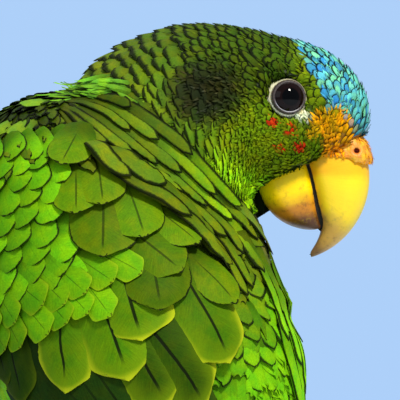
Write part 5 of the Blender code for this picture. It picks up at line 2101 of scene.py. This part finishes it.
def cere_band():
    """The soft skin's part over the root of the upper bill: a slice of the bill's own shape, a little swollen."""
    band = cad_shape("bill_upper", 0.3)
    (ahead, up), (ahead_too, up_too) = CERE_LINE
    normal = AHEAD * (up - up_too) + UP * (ahead_too - ahead)
    bmesh.ops.bisect_plane(
        band, geom=band.verts[:] + band.edges[:] + band.faces[:], plane_co=Vector(room(beside_eye(ahead, up))),
        plane_no=Vector(unit(normal)), clear_inner=True,
    )
    bmesh.ops.holes_fill(band, edges=band.edges[:])
    return band


def keep_horn_places(obj, along, reach):
    """Keeps how far along the bill its corners are, and how far out, for the horn's colours."""
    keep(obj.data, "along", along)
    keep(obj.data, "reach", reach)


def upper_bill(horn):
    upper = refined("bill_upper_horn", "bill_upper", 3)
    forward, up, _ = in_head(bird(corners(upper.data)))
    forward, up = forward - CULMEN_CENTRE[0], up - CULMEN_CENTRE[1]
    angle = np.degrees(np.arctan2(up, forward))
    keep_horn_places(upper, (CULMEN_START - angle) / CULMEN_SWEEP, np.hypot(up, forward) / CULMEN_RADIUS)
    upper.data.materials.append(horn)
    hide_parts("bill_upper")
    return upper


def lower_bill(horn):
    """The lower bill, whose edge meets the upper bill's more closely than in the CAD shape."""
    lower = refined("bill_lower_horn", "bill_lower", 3)
    points = bird(corners(lower.data))
    forward, up, right = in_head(points)
    keep_horn_places(lower, np.clip((forward * 0.62 - up * 0.78 - 9) / 22, 0, 1), np.clip(np.abs(right) / 7, 0, 1))
    ahead, up, _ = from_eyes(points)
    (top_ahead, top), (foot_ahead, foot) = MOUTH_LINE
    behind = np.interp(-up, (-top, -foot), (top_ahead, foot_ahead)) - ahead
    forth = 0.6 * close_to(behind, 1.6) * smooth_step(foot, top - 3, up)
    set_corners(lower.data, room(points + AHEAD * forth[:, None]))
    lower.data.materials.append(horn)
    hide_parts("bill_lower")
    return lower


def from_nostril(points):
    ahead, up, _ = from_eyes(points)
    return np.hypot(ahead - NOSTRIL[0], up - NOSTRIL[1])


def add_cere(cere_skin, finish):
    """The swollen soft skin over the root of the upper bill, its nostril, and its fine bristles."""
    soft = run_together("cere_skin", ["cere"], 0.3, 4, 0.0, cere_band())
    points = bird(corners(soft.data))
    far = from_nostril(points)
    lift = 0.22 * close_to(far - 1.2, 0.6) - 0.65 * close_to(far, 0.5)
    set_corners(soft.data, room(points + vertex_normals(soft.data) * lift[:, None]))
    keep(soft.data, "nostril", far)
    unwrap(soft)
    soft.data.materials.append(cere_skin)
    ground = Ground(soft)
    points = bird(corners(soft.data))
    points = points[thinned(points, np.full(len(points), 0.5), chance.permutation(len(points)))]
    roots = ground.settle({"at": points, "way": np.tile(unit(HEAD_FORWARD * 0.5 - HEAD_UP), (len(points), 1))})
    ahead, up, _ = from_eyes(roots["at"])
    over_edge = up > -13.6 - 0.117 * (ahead - 7.9)
    roots = pick(roots, over_edge & (chance.random(len(points)) < 0.8))
    roots = pick(roots, smooth_step(1.4, 5.0, from_nostril(roots["at"])) > chance.random(len(roots["at"])))
    count = len(roots["at"])
    tint = CERE_ORANGE * (1 + 0.3 * chance.uniform(-1, 1, (count, 1)))
    lift = chance.uniform(0.15, 0.45, count)
    roots = dressed(roots, 0.5, 1.5, lift, 0.05, tint, (0.1, 0.0, 0.0, 0.0), 0.25, 0.35)
    bristles = lay("cere_bristles", roots, vanes("bristle", WISP_OUTLINE, 2, 3, 0.1, 0.1, 2.5), soft, finish)
    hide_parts("cere")
    return [bristles, soft]


def add_bill(horn, lower_horn, cere_skin, lining, finish):
    pieces = [upper_bill(horn), lower_bill(lower_horn)]
    # a solid inside the bill stands for the mouth's inside; its near-black colour is painted shade in the gap between
    # the mandibles
    mouth = run_together("mouth_lining", ["bill_upper", "bill_lower"], 0.4, 2, 0.7)
    set_corners(mouth.data, corners(mouth.data) - vertex_normals(mouth.data) * 1.35 * MM)
    mouth.data.materials.append(lining)
    return pieces + [mouth] + add_cere(cere_skin, finish)


# the horn's colours from the root of the bill to its tip
UPPER_HORN = ((240, 176, 22), (246, 208, 30), (210, 160, 76), (120, 90, 62))
LOWER_HORN = ((255, 222, 2), (255, 210, 1), (188, 120, 24), (84, 48, 20))


def horn_material(name, colours, stops):
    """Horn that goes from one colour to the next along the bill, with growth lines and flaking at its edge."""
    low, middle, high, tip = (linear(*colour) for colour in colours)
    material, tree, shader = material_tree(name, 0.36, coat=0.08, coat_roughness=0.25, subsurface=0.04)
    shader.inputs["Specular IOR Level"].default_value = 0.3
    along = tree.own("along")
    reach = tree.own("reach")
    where = tree.place()
    cloud = tree.noise(where, 180.0, 3.0)
    grain = tree.noise(where, 1500.0, 4.0)
    lines = tree.noise(tree.vector(along * 26.0, reach * 2.0), 1.0, 3.0)
    place = along + 0.16 * (cloud - 0.5) + 0.05 * (lines - 0.5)
    colour = tree.mix(place.step(stops[0], stops[1]), low, middle)
    colour = tree.mix(place.step(stops[2], stops[3]), colour, high)
    colour = tree.mix(place.step(stops[4], stops[5]), colour, tip)
    flecks = tree.noise(where, 620.0, 4.0, 0.7)
    colour = tree.mix((grain * 0.5 + lines * 0.5).step(0.52, 0.75) * 0.3, colour, middle * 0.7)
    colour = tree.mix(flecks.step(0.5, 0.72) * place.step(0.3, 0.8) * 0.55, colour, tip)
    feed(tree, shader, "Base Color", colour)
    feed(tree, shader, "Roughness", 0.26 + 0.22 * grain)
    bump(tree, shader, lines * 0.7 + grain * 0.3, 0.35, 0.00025)
    return material


def cere_material():
    material, tree, shader = material_tree("cere", 0.5, subsurface=0.15)
    where = tree.place()
    pores = tree.node("ShaderNodeTexVoronoi", None, {"Vector": where, "Scale": 1900.0}, 0)
    cloud = tree.noise(where, 500.0, 3.0)
    colour = tree.mix(cloud.step(0.35, 0.65), linear(220, 132, 8), linear(244, 176, 26))
    nostril = tree.own("nostril")
    colour = tree.mix((1.0 - (nostril + 0.8 * (cloud - 0.5)).step(0.9, 2.1)) * 0.6, colour, linear(232, 132, 66))
    # painted shade: the nostril's opening is coloured dark red-brown
    colour = tree.mix(1.0 - nostril.step(0.4, 0.75), colour, linear(104, 26, 8))
    feed(tree, shader, "Base Color", colour)
    bump(tree, shader, pores, 0.5, 0.0002)
    return material


# ---------------------------------------------------------------- legs and claws


TOES = ("inner_front", "outer_front", "outer_rear", "inner_rear")


def foot_skin(side_name, side, finish):
    nodes = [f"leg_{side_name}_shank"] + [f"leg_{side_name}_toe_{toe}" for toe in TOES]
    ankle = bmesh.new()
    add_ankle(ankle, side, 2.6, 20.0)
    foot = run_together(f"foot_{side_name}_skin", nodes, 0.42, 3, 0.2, ankle)
    points = corners(foot.data)
    points[:, 2] = np.maximum(points[:, 2], 0.0)
    set_corners(foot.data, points)
    foot.data.materials.append(finish)
    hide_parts(*nodes)
    return foot


def scute_material():
    material, tree, shader = material_tree("scaly leg skin", 0.55)
    where = tree.place()
    cells = tree.node("ShaderNodeTexVoronoi", {"feature": "DISTANCE_TO_EDGE"}, {"Vector": where, "Scale": 720.0}, 0)
    tone = tree.noise(where, 420.0, 3.0)
    seam = 1.0 - cells.step(0.0, 0.12)
    colour = tree.mix(tone, linear(120, 112, 104), linear(176, 166, 152))
    colour = tree.mix(seam * 0.8, colour, linear(62, 56, 52))
    feed(tree, shader, "Base Color", colour)
    bump(tree, shader, cells.least(0.25), 0.9, 0.0006)
    return material


def claw_material():
    material, tree, shader = material_tree("claw horn", 0.35, coat=0.3)
    where = tree.place()
    grain = tree.noise(where, 900.0, 4.0)
    feed(tree, shader, "Base Color", tree.mix(grain, linear(44, 38, 34), linear(98, 86, 76)))
    bump(tree, shader, grain, 0.3, 0.0002)
    return material


def add_feet():
    scutes, horn = scute_material(), claw_material()
    pieces = []
    for side_name, side in SIDES:
        pieces.append(foot_skin(side_name, side, scutes))
        for toe in TOES:
            claw = refined(f"claw_{side_name}_{toe}", f"leg_{side_name}_claw_{toe}", 2)
            claw.data.materials.append(horn)
            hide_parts(f"leg_{side_name}_claw_{toe}")
            pieces.append(claw)
    return pieces


# ---------------------------------------------------------------- putting it together


def build():
    add_studio()
    skin = make_skin()
    unwrap(skin)
    keep(skin.data, "tint", markings(bird(corners(skin.data))), "FLOAT_COLOR")
    skin.data.materials.append(skin_material())
    ground = Ground(skin)
    guide = Guide(guide_rings(), ground.tree)
    finish = plumage_material()
    pieces = [skin] + add_body_coat(skin, ground, guide, finish)
    soft = vanes("soft", FLUFF_OUTLINE, 6, 6, 0.1, 0.06, 1.8, fray=0.25)
    for side_name, side in SIDES:
        pieces.append(add_leg_coat(side, side_name, skin, ground, finish, soft))
    for side_name, side in SIDES:
        for piece in add_wing(side, side_name, finish, ground.tree):
            pieces.append(piece)
    tail = tail_feathers(finish)
    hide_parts("tail")
    for piece in (tail, add_tail_coverts(finish)):
        pieces.append(piece)
    dark_eye, bare = eye_material(), lid_material()
    for side_name, side in SIDES:
        pieces += [eye_ball(side, side_name, dark_eye), eye_lids(side, side_name, bare)]
    horn = horn_material("upper bill horn", UPPER_HORN, (0.0, 0.15, 0.5, 0.72, 0.74, 0.92))
    lower_horn = horn_material("lower bill horn", LOWER_HORN, (0.0, 0.2, 0.56, 0.78, 0.78, 0.97))
    # near-black: painted shade inside the mouth
    lining = plain_material("dark mouth", linear(14, 8, 4), 0.9)
    pieces += add_bill(horn, lower_horn, cere_material(), lining, finish) + add_feet()
    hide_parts(*FLESH)
    for piece in pieces:
        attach(piece, "root")


build()
